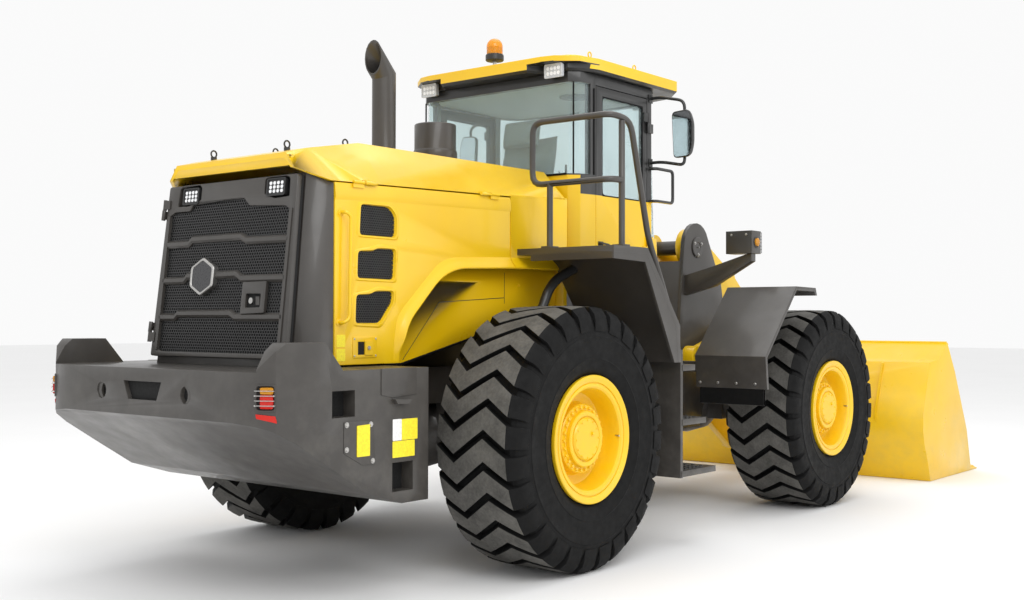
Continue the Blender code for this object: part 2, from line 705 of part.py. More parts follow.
def make_exhaust():
    base = Vector((rear(-0.33), -0.02, HOOD_TOP_Z + SEAT_GAP))
    elbow = base + Vector((0, 0, 0.555))
    lean = Vector((-math.sin(math.radians(43)), 0, math.cos(math.radians(43))))
    pipe = sweep([base, elbow, elbow + lean * 0.45], 0.0775, 20)
    collar = rod(base, base + Vector((0, 0, 0.05)), 0.095, 20)
    bore = sweep([elbow - Vector((0, 0, 0.15)), elbow, elbow + lean * 0.6], 0.069, 20)
    beyond = block((base.x - 0.6, -0.4, elbow.z - 0.02), (base.x - 0.098, 0.4, elbow.z + 0.6))
    node("exhaust_stack", carve(fuse(pipe, collar), bore, beyond), "frame_grey")


def make_precleaner():
    base = (rear(0.18), 0.0, HOOD_TOP_Z + SEAT_GAP)
    profile = [(0.09, 0), (0.09, 0.05), (0.150, 0.06), (0.150, 0.12), (0.142, 0.13), (0.142, 0.30),
               (0.136, 0.306), (0.05, 0.309)]
    node("air_precleaner", lathe(profile, base, (0, 0, 1), 28), "frame_grey")


# ---------------------------------------------------------------- cab
CAB_BASE = [(CAB_REAR, 0.66), (0.86, 0.725), (1.00, CAB_HALF), (1.80, CAB_HALF), (1.95, 0.66), (2.02, 0.45)]
CAB_CROWN = [(CAB_REAR, 0.66), (0.86, 0.725), (1.00, CAB_HALF), (1.72, CAB_HALF), (1.88, 0.66), (1.96, 0.45)]


def cab_loft(distance, z0, z1):
    """The cab's outer shape moved inwards by a distance, between two heights."""
    rings = []
    base, crown = (inset(both_sides(half), distance) for half in (CAB_BASE, CAB_CROWN))
    for z in (z0, z1):
        t = (z - CAB_BOTTOM_Z) / (CAB_TOP_Z - CAB_BOTTOM_Z)
        rings.append([(rear(a + (c - a) * t), b + (d - b) * t, z) for (a, b), (c, d) in zip(base, crown)])
    return loft(rings)


def window_block(x0, x1, z0, z1, shrink=0.0):
    return block((rear(x0) + shrink, -1, z0 + shrink), (rear(x1) - shrink, 1, z1 - shrink))


def cab_door_axis(side):
    x = rear(CAB_DOOR_FRONT) + PANEL_GAP / 2
    y = side * (CAB_HALF + 0.014)
    return Vector((x, y, CAB_DOOR_BOTTOM_Z)), Vector((x, y, CAB_DOOR_TOP_Z))


def make_cab():
    body = cab_loft(0, CAB_BOTTOM_Z, CAB_TOP_Z)
    hollow = cab_loft(CAB_WALL, CAB_BOTTOM_Z + CAB_FLOOR, CAB_TOP_Z + 0.05)
    rear_window = window_block(CAB_REAR - 0.1, REAR_GLASS_END, 2.50, GLASS_TOP_Z)
    front_window = window_block(WINDSCREEN_REAR, 2.2, 2.10, GLASS_TOP_Z)
    doorways = [block((rear(CAB_DOOR_REAR) - PANEL_GAP, side * (CAB_HALF - CAB_WALL - 0.01),
                       CAB_DOOR_BOTTOM_Z - PANEL_GAP),
                      (rear(CAB_DOOR_FRONT) + PANEL_GAP, side * 1.0, CAB_DOOR_TOP_Z + PANEL_GAP))
                for side in (1, -1)]
    body = carve(body, hollow, rear_window, front_window, *doorways)
    knuckles = []
    for side in (1, -1):
        start, end = cab_door_axis(side)
        for low, high in hinge_points(start, end, FIXED_SHARES):
            leaf = block((low.x + 0.0055, side * (CAB_HALF - 0.01), low.z + 0.004),
                         (low.x + 0.06, side * (CAB_HALF + 0.018), high.z - 0.004))
            knuckles += [knuckle(low, high), leaf]
        wall, stand_off, reach = side * (CAB_HALF - 0.02), side * (CAB_HALF + 0.055), rear(1.93)
        grab = bent([(rear(1.695), wall, 2.61), (rear(1.695), stand_off, 2.61), (reach, stand_off, 2.61),
                     (reach, stand_off, 2.37), (rear(1.695), stand_off, 2.37), (rear(1.695), wall, 2.37)], 0.035)
        knuckles.append(sweep(grab, 0.012, 8))
    node("cab_body", fuse(body, *knuckles), "machine_yellow")
    shell = carve(cab_loft(GLASS_INSET, 2.0, CAB_TOP_Z), cab_loft(GLASS_INSET + GLASS_THICKNESS, 1.9, CAB_TOP_Z + 0.1))
    rear_glass = common(shell, window_block(CAB_REAR - 0.1, REAR_GLASS_END, 2.50, GLASS_TOP_Z, SEAT_GAP))
    node("rear_glass", rear_glass, "tinted_glass")
    shell = carve(cab_loft(GLASS_INSET, 2.0, CAB_TOP_Z), cab_loft(GLASS_INSET + GLASS_THICKNESS, 1.9, CAB_TOP_Z + 0.1))
    windscreen = common(shell, window_block(WINDSCREEN_REAR, 2.2, 2.10, GLASS_TOP_Z, SEAT_GAP))
    node("windscreen", windscreen, "tinted_glass")


def make_cab_door(side):
    inner = side * (CAB_HALF - 0.04)
    outer = side * CAB_HALF
    door = block((rear(CAB_DOOR_REAR), inner, CAB_DOOR_BOTTOM_Z), (rear(CAB_DOOR_FRONT), outer, CAB_DOOR_TOP_Z))
    pane = ((CAB_DOOR_REAR + 0.075, SILL_Z), (CAB_DOOR_FRONT - 0.05, CAB_DOOR_TOP_Z - 0.06))
    opening = block((rear(pane[0][0]), side * 0.6, pane[0][1]), (rear(pane[1][0]), side * 0.9, pane[1][1]))
    door = carve(door, opening)
    start, end = cab_door_axis(side)
    pieces = []
    for low, high in hinge_points(start, end, DOOR_SHARES):
        leaf = block((low.x - 0.06, side * (CAB_HALF - 0.01), low.z + 0.004),
                     (low.x - 0.0055, side * (CAB_HALF + 0.018), high.z - 0.004))
        pieces += [knuckle(low, high), leaf]
    node(side_name("cab_door", side), fuse(door, *pieces), "machine_yellow", start)
    glass_outer = side * (CAB_HALF - GLASS_INSET)
    glass = block((rear(pane[0][0]) + SEAT_GAP, glass_outer, pane[0][1] + SEAT_GAP),
                  (rear(pane[1][0]) - SEAT_GAP, glass_outer - side * GLASS_THICKNESS, pane[1][1] - SEAT_GAP))
    node(side_name("door_glass", side), glass, "tinted_glass", start)


def make_roof():
    eave = [(0.67, 0.60), (0.78, 0.74), (0.98, 0.80), (2.00, 0.80), (2.16, 0.66), (2.20, 0.45)]
    top = [(0.949, 0.52), (1.00, 0.585), (1.05, 0.603), (1.95, 0.603), (2.02, 0.56), (2.05, 0.45)]
    lower = inset(both_sides(eave), 0.02)
    rings = []
    for z, plan in ((CAB_TOP_Z + SEAT_GAP, lower), (3.225, both_sides(eave)), (3.290, both_sides(eave)),
                    (ROOF_TOP_Z, both_sides(top))):
        rings.append([(rear(x), y, z) for x, y in plan])
    node("cab_roof", loft(rings), "machine_yellow")
    beacon = [(0.03, 0), (0.03, 0.045), (0.069, 0.05), (0.069, 0.10), (0.061, 0.105), (0.061, 0.16), (0.045, 0.20),
              (0.015, 0.218)]
    node("beacon", lathe(beacon, (rear(1.00), 0.16, ROOF_TOP_Z + SEAT_GAP), (0, 0, 1), 24), "amber_plastic")


def make_cab_fittings():
    floor = CAB_BOTTOM_Z + CAB_FLOOR + SEAT_GAP
    seat = [(1.12, floor), (1.42, floor), (1.42, 2.22), (1.62, 2.22), (1.64, 2.34), (1.26, 2.36), (1.12, 3.02),
            (1.02, 3.02), (1.10, 2.22), (1.12, 2.20)]
    node("operator_seat", side_prism([(rear(x), z) for x, z in seat], -0.25, 0.25), "seat_fabric")
    post = block((rear(1.74), -0.10, floor), (rear(1.86), 0.10, 2.20))
    column = sweep([(rear(1.80), 0, 2.10), (rear(1.72), 0, 2.50)], 0.04, 12)
    wheel_axis = Vector((-0.08, 0, 0.40)).normalized()
    centre = Vector((rear(1.72), 0, 2.50))
    ring = lathe([(0.20, -0.015), (0.20, 0.015), (0.17, 0.015), (0.17, -0.015)], centre, wheel_axis, 28, closed=True)
    spokes = [sweep([centre - spoke * 0.185, centre + spoke * 0.185], 0.014, 8)
              for spoke in (Vector((0, 1, 0)), Vector((0.40, 0, 0.08)).normalized())]
    node("steering_console", fuse(post, column, ring, *spokes), "frame_grey")


# ---------------------------------------------------------------- fenders, ladders, rails, mirrors
def make_rear_fender(side):
    inner = side * (HOOD_HALF + SEAT_GAP)
    t = FENDER_THICKNESS
    outer_edge = [(0.20, DECK_Z), (0.58, DECK_Z), (0.95, 1.48), (0.985, 1.22)]
    inner_edge = [(0.985 - t, 1.22), (0.95 - t, 1.46), (0.58 - 0.015, DECK_Z - t), (0.20, DECK_Z - t)]
    outline = [(rear(x), z) for x, z in outer_edge + inner_edge]
    deck = side_prism(outline, inner, side * FENDER_OUTER)
    lip = side_prism([(rear(x), z) for x, z in ((0.20, DECK_Z - 0.01), (0.585, DECK_Z - 0.01), (0.97, 1.46),
                                                (0.97, 1.22), (0.90, 1.22), (0.55, 1.86), (0.20, 1.87))],
                     side * (FENDER_OUTER - 0.02), side * (FENDER_OUTER - 0.0005))
    rear_lip = block((rear(0.2005), side * 0.81, DECK_Z - 0.08), (rear(0.22), side * (FENDER_OUTER - 0.01), DECK_Z - 0.01))
    node(side_name("rear_fender", side), fuse(deck, lip, rear_lip), "frame_grey")


def make_ladder(side):
    """Steps hung on the tank beside the frame."""
    front_face = 1.36
    rear_face = 1.00
    tank = block((rear(rear_face), side * TANK_INNER, 0.70), (rear(front_face), side * TANK_OUTER, 1.58))
    hanger = block((rear(0.96), side * (REAR_RAIL_OUTER + SEAT_GAP), 1.08),
                   (rear(1.05), side * (TANK_INNER + 0.02), 1.16))
    plate_outline = [(1.02, 0.46), (1.49, 0.46), (1.47, 0.54), (1.24, 1.16), (1.20, 1.56), (1.02, 1.56)]
    plate = side_prism([(rear(x), z) for x, z in plate_outline], side * (TANK_OUTER - 0.005), side * (TANK_OUTER + 0.03))
    steps = []
    for x0, x1, z in ((1.04, 1.49, 0.46), (1.05, 1.36, 0.80), (1.05, 1.215, 1.16)):
        steps.append(block((rear(x0), side * (TANK_OUTER + 0.01), z), (rear(x1 - 0.004), side * LADDER_OUTER, z + STEP_THICKNESS)))
    stringer = side_prism([(rear(x), z) for x, z in ((1.03, 0.455), (1.06, 0.455), (1.06, 1.30), (1.03, 1.30))],
                          side * (TANK_OUTER + 0.01), side * (LADDER_OUTER - 0.005))
    grab = sweep(bent([(rear(1.10), side * (TANK_OUTER - 0.03), 1.50), (rear(1.10), side * (TANK_OUTER - 0.03), 1.76),
                       (rear(1.30), side * (TANK_OUTER - 0.03), 1.74), (rear(1.30), side * (TANK_OUTER - 0.03), 1.50)],
                      0.06), 0.014, 8)
    node(side_name("ladder", side), fuse(tank, hanger, plate, *steps, stringer, grab), "frame_grey")


def make_handrail(side):
    """A loop above the fender's rear corner that runs down the slope, on two posts."""
    foot = DECK_Z + SEAT_GAP
    inner, post_y, outer = side * RAIL_INNER, side * 0.926, side * 1.40
    corner, post_x = rear(0.25), rear(0.36)
    slope_foot = (rear(0.92), outer, line_z(0.92, (0.58, DECK_Z), (0.95, 1.48)) + 0.035)
    loop = bent([(post_x, outer, RAIL_LOW_Z), (corner, outer, RAIL_LOW_Z), (corner, inner, RAIL_LOW_Z),
                 (corner, inner, RAIL_TOP_Z_CENTRE), (corner, outer, RAIL_TOP_Z_CENTRE),
                 (rear(0.455), outer, RAIL_TOP_Z_CENTRE - 0.02), (rear(0.66), outer, 2.02), slope_foot], 0.08)
    posts = [[(corner, post_y, foot), (corner, post_y, RAIL_LOW_Z)], [(post_x, outer, foot), (post_x, outer, 2.73)]]
    tubes = [sweep(path, TUBE_RADIUS) for path in (loop, *posts)]
    foot_plates = [block((x - 0.04, y - 0.04, foot), (x + 0.04, y + 0.04, foot + 0.012))
                   for x, y in ((corner, post_y), (post_x, side * 1.395))]
    node(side_name("handrail", side), fuse(*tubes, *foot_plates), "frame_grey")


def make_mirror(side):
    root = side * (CAB_HALF + SEAT_GAP)
    x = rear(1.705)
    middle = side * 1.03
    head = block((rear(1.69), side * 0.94, 2.67), (rear(1.73), side * 1.115, 3.02))
    arms = []
    for root_z, z, end_z in ((3.13, 3.09, 2.95), (2.655, 2.62, 2.75)):
        path = bent([(x, root, root_z), (x, side * 0.85, root_z), (x + 0.005, middle, z), (x + 0.005, middle, end_z)], 0.05)
        arms.append(sweep(path, 0.012, 8))
    node(side_name("mirror", side), fuse(head, *arms), "frame_grey")


# ---------------------------------------------------------------- front half
def make_front_frame():
    outer, inner = FRONT_RAIL_OUTER, FRONT_RAIL_OUTER - FRONT_RAIL_THICKNESS
    start = front(FRONT_RAIL_START)
    crown = [(front(a), b) for a, b in arc(A_PIN, 0.20, 170, 40, 8)]
    outline = [(start, RAIL_BOTTOM_Z), *rail_notch(FRONT_AXLE_X), (front(0.50), RAIL_BOTTOM_Z), (front(0.52), 1.02),
               (front(0.05), 1.30), (front(-0.06), 1.80), *reversed(crown),
               (front(-0.74), 1.45), (start, 1.30)]
    plates = [side_prism(outline, side * inner, side * outer) for side in (1, -1)]
    reach = inner + 0.005
    bottom = block((start, -reach, RAIL_BOTTOM_Z), (front(-0.43), reach, RAIL_BOTTOM_Z + 0.05))
    rear_wall = block((start, -reach, RAIL_BOTTOM_Z), (start + 0.05, reach, 1.26))
    tower_wall = side_prism([(front(x), z) for x, z in ((-0.745, 1.42), (-0.715, 1.42), (-0.635, 1.98), (-0.665, 1.98))],
                            -reach, reach)
    shelf = side_prism([(front(x), z) for x, z in ((-1.13, 1.22), (-0.72, 1.36), (-0.72, 1.42), (-1.13, 1.28))],
                       -reach, reach)
    nose = block((front(0.44), -reach, 0.63), (front(0.48), reach, 0.73))
    box_end = waist(0.20)
    box = block((box_end, -HINGE_BOX_HALF, LOWER_EAR[1] + 0.0006), (start + 0.02, HINGE_BOX_HALF, UPPER_EAR[0] - 0.0006))
    lower_ear = (LOWER_EAR[1] + SLIDE_GAP, LOWER_EAR[1] + 0.08)
    upper_ear = (UPPER_EAR[0] - 0.08, UPPER_EAR[0] - SLIDE_GAP)
    ears = [hinge_ear(z, box_end + 0.02, HINGE_BOX_HALF - 0.01, EAR_RADIUS - 0.01) for z in (lower_ear, upper_ear)]
    pins = [rod((HINGE_X, 0, LOWER_EAR[0] + 0.005), (HINGE_X, 0, lower_ear[1] - 0.01), HINGE_PIN_RADIUS, PIN_SEGMENTS),
            rod((HINGE_X, 0, upper_ear[0] + 0.01), (HINGE_X, 0, UPPER_EAR[1] + 0.01), HINGE_PIN_RADIUS, PIN_SEGMENTS)]
    a_x, a_z = front(A_PIN[0]), A_PIN[1]
    boom_pins = [cross_pin((a_x, a_z), side * (TILT_HALF + SLIDE_GAP), side * (inner + 0.01), PIVOT_PIN_RADIUS) for side in (1, -1)]
    lift_pins = [cross_pin((front(LIFT_BASE[0]), LIFT_BASE[1]), side * (outer - 0.01), side * (LIFT_Y + 0.08), 0.045)
                 for side in (1, -1)]
    steering = []
    for side in (1, -1):
        x, y = waist(STEER_EYE[0]), side * STEER_EYE[1]
        lug = plan_prism([(waist(0.30), side * (HINGE_BOX_HALF - 0.01)), (x - 0.045, y + side * 0.045),
                          (x + 0.045, y + side * 0.045), (start + 0.01, side * (HINGE_BOX_HALF - 0.01))],
                         STEER_Z - 0.085, STEER_Z - 0.05)
        steering.append(lug)
    box_hole = block((box_end - 0.1, -0.15, LOWER_EAR[1] + 0.08), (start + 0.1, 0.15, UPPER_EAR[0] - 0.08))
    base = fuse(plates[0], plates[1], bottom, rear_wall, tower_wall, shelf, nose, box, *ears, *pins)
    base = fuse(base, *boom_pins, *lift_pins, *steering)
    node("front_frame", carve(base, box_hole), "frame_grey", (HINGE_X, 0, AXLE_Z))


def make_front_fender(side):
    t = 0.03
    outline_outer = [(-1.19, 0.99), (-1.215, 1.23), (-0.71, 1.755), (-0.37, 1.75), (-0.345, 1.69)]
    outline_inner = [(-0.375, 1.69), (-0.395, 1.72), (-0.70, 1.725), (-1.185, 1.22), (-1.16, 0.99)]
    outline = [(front(x), z) for x, z in outline_outer + outline_inner]
    fender = side_prism(outline, side * 0.87, side * 1.46)
    flap = block((front(-1.185), side * 0.90, 0.87), (front(-1.165), side * 1.43, 1.0))
    bracket = block((front(-1.12), side * (FRONT_RAIL_OUTER + SEAT_GAP), 1.10), (front(-1.04), side * 1.30, 1.18))
    arm = block((front(-1.18), side * 1.0, 1.10), (front(-1.05), side * 1.30, 1.18))
    rib = side_prism([(front(x), z) for x, z in ((-1.18, 1.02), (-1.10, 1.02), (-1.10, 1.29), (-1.15, 1.25))],
                     side * 0.88, side * (0.88 + t))
    node(side_name("front_fender", side), fuse(fender, flap, bracket, arm, rib), "frame_grey")


def make_headlight(side):
    """A tapered plate arm from the front frame that carries the lamp's box."""
    root = side * (FRONT_RAIL_OUTER + SEAT_GAP)
    rings = []
    for y, z0, z1 in ((root, 1.70, 1.86), (side * 0.72, 1.77, 1.93), (side * 1.06, 1.96, 2.03)):
        rings.append([(front(-0.67), y, z0), (front(-0.60), y, z0), (front(-0.60), y, z1), (front(-0.67), y, z1)])
    box = block((front(-0.70), side * 0.85, 2.02), (front(-0.55), side * 1.08, 2.20))
    node(side_name("headlight_bracket", side), fuse(loft(rings), box), "frame_grey")


# ---------------------------------------------------------------- boom and linkage
def bar_outline(points, radii, steps=8):
    """A straight bar in (x, z) between two round ends."""
    (x0, z0), (x1, z1) = points
    lean = math.degrees(math.atan2(z1 - z0, x1 - x0))
    first = arc((x0, z0), radii[0], lean + 90, lean + 270, steps)
    second = arc((x1, z1), radii[1], lean - 90, lean + 90, steps)
    return [(front(x), z) for x, z in first + second]


def make_boom():
    top_edge = [(0.25, 1.88), (0.92, 1.36), (1.32, 0.92)]
    underside = [(1.15, 0.50), (0.66, 0.80), (0.05, 1.38)]
    heel = arc(A_PIN, 0.155, 250, 70, 10)
    toe = arc(B_PIN, 0.125, 40, -130, 8)
    outline = [(front(x), z) for x, z in heel + top_edge + toe + underside]
    arms = [side_prism(outline, side * ARM_INNER, side * ARM_OUTER) for side in (1, -1)]
    q = Vector((BELLCRANK_PIN[0], BELLCRANK_PIN[1]))
    tube_at = q + Vector((math.cos(math.radians(210)), math.sin(math.radians(210)))) * 0.25
    cross_tube = cross_pin((front(tube_at.x), tube_at.y), -ARM_INNER - 0.01, ARM_INNER + 0.01, 0.10, 24)
    ears = []
    for side in (1, -1):
        inner = BELLCRANK_OUTER + SLIDE_GAP
        outline = bar_outline([tuple(tube_at), tuple(q)], (0.11, 0.10))
        ears.append(side_prism(outline, side * inner, side * (inner + EAR_THICKNESS)))
    q_pin = cross_pin((front(q.x), q.y), -BELLCRANK_OUTER - 0.02, BELLCRANK_OUTER + 0.02, PIVOT_PIN_RADIUS)
    bosses = [cross_pin((front(LIFT_EYE[0]), LIFT_EYE[1]), side * (ARM_OUTER - 0.01),
                        side * (LIFT_Y - 0.05 - SLIDE_GAP), 0.075, 24) for side in (1, -1)]
    boom = fuse(arms[0], cross_tube, arms[1], *ears, q_pin, *bosses)
    bores = [cross_pin((front(A_PIN[0]), A_PIN[1]), -0.6, 0.6, PIVOT_PIN_RADIUS + PIN_GAP),
             cross_pin((front(B_PIN[0]), B_PIN[1]), -0.6, 0.6, PIVOT_PIN_RADIUS + PIN_GAP)]
    node("boom", carve(boom, *bores), "machine_yellow", front_point(A_PIN))


def make_bellcrank():
    """Two cranked plates on one hub: the tilt cylinder's eye and the link run between them."""
    outlines = [bar_outline([BELLCRANK_PIN, TILT_PIN], (0.11, 0.085)),
                bar_outline([BELLCRANK_PIN, LINK_PIN], (0.11, 0.085))]
    x, z = front(BELLCRANK_PIN[0]), BELLCRANK_PIN[1]
    hub = cross_pin((x, z), -BELLCRANK_OUTER, BELLCRANK_OUTER, 0.118)
    plates = [side_prism(outline, side * BELLCRANK_INNER, side * (BELLCRANK_OUTER - 0.0001))
              for outline in outlines for side in (1, -1)]
    link_pin = cross_pin((front(LINK_PIN[0]), LINK_PIN[1]), -BELLCRANK_INNER - 0.02, BELLCRANK_INNER + 0.02, 0.04)
    bore = cross_pin((x, z), -0.2, 0.2, PIVOT_PIN_RADIUS + PIN_GAP)
    node("bellcrank", carve(fuse(hub, *plates, link_pin), bore), "machine_yellow", front_point(BELLCRANK_PIN))


def make_link():
    link = side_prism(bar_outline([LINK_PIN, BUCKET_LINK_PIN], (0.08, 0.085)), -LINK_HALF, LINK_HALF)
    bore = cross_pin((front(LINK_PIN[0]), LINK_PIN[1]), -0.2, 0.2, 0.04 + PIN_GAP)
    node("bucket_link", carve(link, bore), "machine_yellow", front_point(LINK_PIN))


def make_bucket():
    lift = BUCKET_CLEARANCE
    back = [(x, z + lift) for x, z in BUCKET_BACK]
    lip = FRONT_REACH
    t = BUCKET_WALL
    edge = back[-1]
    inner = [(edge[0] + 0.035, edge[1] - 0.02), (2.235, 1.085 + lift), (2.03, 1.06 + lift), (1.905, 0.78 + lift),
             (1.855, 0.62 + lift), (1.855, 0.49 + lift), (1.885, 0.36 + lift), (1.99, 0.18 + lift), (2.16, 0.06 + lift),
             (2.40, t + lift), (lip - 0.10, t + lift), (lip, 0.008 + lift), (lip, lift)]
    shell = side_prism([(front(x), z) for x, z in back + inner], -BUCKET_HALF, BUCKET_HALF)
    cheek = [*back, (2.66, 1.0), (2.99, 0.42), (3.10, 0.06), (3.10, lift)]
    cheeks = [side_prism([(front(x), z) for x, z in cheek], side * (BUCKET_HALF - t), side * (BUCKET_HALF + 0.0005))
              for side in (1, -1)]
    brackets = []
    for side in (1, -1):
        for y0, y1 in ((ARM_INNER - SLIDE_GAP - EAR_THICKNESS, ARM_INNER - SLIDE_GAP),
                       (ARM_OUTER + SLIDE_GAP, ARM_OUTER + SLIDE_GAP + EAR_THICKNESS)):
            ear_end = arc(B_PIN, 0.115, 110, 270, 8)
            outline = [(1.945, 0.95), (1.72, 0.66)] + ear_end + [(1.86, 0.20), (1.93, 0.20), (1.83, 0.45), (1.845, 0.70)]
            brackets.append(side_prism([(front(x), z) for x, z in outline], side * y0, side * y1))
    link_ears = []
    for side in (1, -1):
        y0 = LINK_HALF + SLIDE_GAP
        ear_end = arc(BUCKET_LINK_PIN, 0.09, 80, 270, 8)
        outline = [(1.955, 0.98)] + ear_end + [(1.83, 0.50), (1.845, 0.70)]
        link_ears.append(side_prism([(front(x), z) for x, z in outline], side * y0, side * (y0 + EAR_THICKNESS)))
    pins = [cross_pin((front(B_PIN[0]), B_PIN[1]), side * (ARM_INNER - 0.02), side * (ARM_OUTER + 0.02), PIVOT_PIN_RADIUS)
            for side in (1, -1)]
    bucket = fuse(shell, *cheeks, *brackets, *link_ears, *pins)
    node("bucket", bucket, "machine_yellow", front_point(B_PIN))


# ---------------------------------------------------------------- cylinders
def make_cylinder(name, base, eye, radius, rod_radius, half, eye_radii, pin_radius, share, retraction, across_axis):
    """A hydraulic cylinder: barrel on its base pin, rod with a flat-sided eye beside its far pin.

    `share` is how much of the pin-to-pin length the barrel takes, `retraction` how far the rod slides in.
    """
    base, eye = Vector(base), Vector(eye)
    run = (eye - base).normalized()
    length = (eye - base).length
    axis = Vector(across_axis)
    mouth = base + run * (length * share)
    barrel = rod(base + run * eye_radii[0] * 0.6, mouth, radius, 20)
    base_eye = rod(base - axis * half, base + axis * half, eye_radii[0], PIN_SEGMENTS)
    bore_start = base + run * (eye_radii[0] + BORE_WALL)
    bore = rod(bore_start, mouth + run * 0.1, rod_radius + BORE_GAP, 20)
    pin_bore = rod(base - axis * (half + 0.1), base + axis * (half + 0.1), pin_radius + PIN_GAP, PIN_SEGMENTS)
    gland = rod(mouth - run * 0.06, mouth, radius + 0.008, 20)
    node(f"{name}_barrel", carve(fuse(barrel, gland, base_eye), bore, pin_bore), "machine_yellow", base)
    rod_start = bore_start + run * (retraction + STROKE_SPARE)
    shank = rod(rod_start, eye, rod_radius, 20)
    piston = rod(rod_start, rod_start + run * PISTON_LENGTH, rod_radius + BORE_GAP - SLIDE_GAP, 20)
    rod_eye = rod(eye - axis * half, eye + axis * half, eye_radii[1], 24)
    node(f"{name}_rod", fuse(shank, piston, rod_eye), "chrome_rod", eye)


def make_cylinders():
    for side in (1, -1):
        suffix = "left" if side > 0 else "right"
        make_cylinder(f"lift_cylinder_{suffix}", front_point(LIFT_BASE, side * LIFT_Y), front_point(LIFT_EYE, side * LIFT_Y),
                      LIFT_RADIUS, LIFT_ROD_RADIUS, 0.05, (0.09, 0.08), 0.045, 0.86, 0.0, (0, 1, 0))
        base = Vector((waist(STEER_BASE[0]), side * STEER_BASE[1], STEER_Z))
        eye = Vector((waist(STEER_EYE[0]), side * STEER_EYE[1], STEER_Z))
        make_cylinder(f"steering_cylinder_{suffix}", base, eye, STEER_RADIUS, STEER_ROD_RADIUS, 0.0494, (0.05, 0.045),
                      0.025, 0.60, 0.25, (0, 0, 1))
    make_cylinder("tilt_cylinder", front_point(A_PIN), front_point(TILT_PIN), TILT_RADIUS, TILT_ROD_RADIUS, TILT_HALF,
                  (0.12, 0.08), 0.05, 0.62, 0.40, (0, 1, 0))


def clear_scene():
    for obj in list(bpy.data.objects):
        bpy.data.objects.remove(obj)


def main():
    clear_scene()
    make_wheels()
    make_rear_frame()
    make_powertrain()
    make_counterweight()
    make_hood()
    make_tower()
    make_grille_door()
    make_exhaust()
    make_precleaner()
    make_cab()
    make_roof()
    make_cab_fittings()
    for side in (1, -1):
        make_side_door(side)
        make_cab_door(side)
        make_rear_fender(side)
        make_ladder(side)
        make_handrail(side)
        make_mirror(side)
        make_front_fender(side)
        make_headlight(side)
    make_front_frame()
    make_boom()
    make_bellcrank()
    make_link()
    make_bucket()
    make_cylinders()


main()
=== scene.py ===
"""Looks of the articulated wheel loader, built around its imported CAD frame.

Metres, +X forward, +Y to the driver's left, +Z up. Places along the rear half are given from the
rear axle with rear(x), along the front half from the front axle with front(x). `side` is +1 for the
left copy of a piece and -1 for the right.
"""

import json
import math

import bmesh
import bpy
from mathutils import Matrix, Vector


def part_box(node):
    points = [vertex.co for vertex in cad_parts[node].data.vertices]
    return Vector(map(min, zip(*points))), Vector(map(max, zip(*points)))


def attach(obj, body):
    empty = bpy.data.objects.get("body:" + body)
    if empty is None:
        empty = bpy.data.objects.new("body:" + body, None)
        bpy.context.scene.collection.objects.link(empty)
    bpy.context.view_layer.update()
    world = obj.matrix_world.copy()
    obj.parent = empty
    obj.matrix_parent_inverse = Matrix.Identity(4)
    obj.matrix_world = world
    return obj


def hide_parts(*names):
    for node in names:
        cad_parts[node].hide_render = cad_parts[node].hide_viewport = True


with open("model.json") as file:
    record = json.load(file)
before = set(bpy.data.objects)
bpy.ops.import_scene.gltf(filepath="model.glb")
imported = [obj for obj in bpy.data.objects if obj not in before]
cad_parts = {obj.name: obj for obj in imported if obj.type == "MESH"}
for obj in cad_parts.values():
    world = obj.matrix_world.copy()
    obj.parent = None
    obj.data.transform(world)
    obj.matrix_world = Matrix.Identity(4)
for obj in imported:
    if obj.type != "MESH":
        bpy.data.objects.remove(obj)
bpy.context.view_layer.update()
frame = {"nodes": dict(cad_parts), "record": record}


# ---------------------------------------------------------------- places taken from the frame
def middle(node):
    low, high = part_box(node)
    return (Vector(low) + Vector(high)) / 2


REAR_WHEEL = middle("tyre_rear_left")
FRONT_WHEEL = middle("tyre_front_left")
AXLE_Z = REAR_WHEEL.z
HALF_TRACK = REAR_WHEEL.y
TYRE_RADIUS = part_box("tyre_rear_left")[1][2] - AXLE_Z
BODY_OF = {node: body for body, nodes in frame["record"]["behaviour"]["bodies"].items() for node in nodes}
SIDES = ((1, "left"), (-1, "right"))


def rear(x):
    """World x of a place given from the rear axle."""
    return REAR_WHEEL.x + x


def front(x):
    """World x of a place given from the front axle."""
    return FRONT_WHEEL.x + x


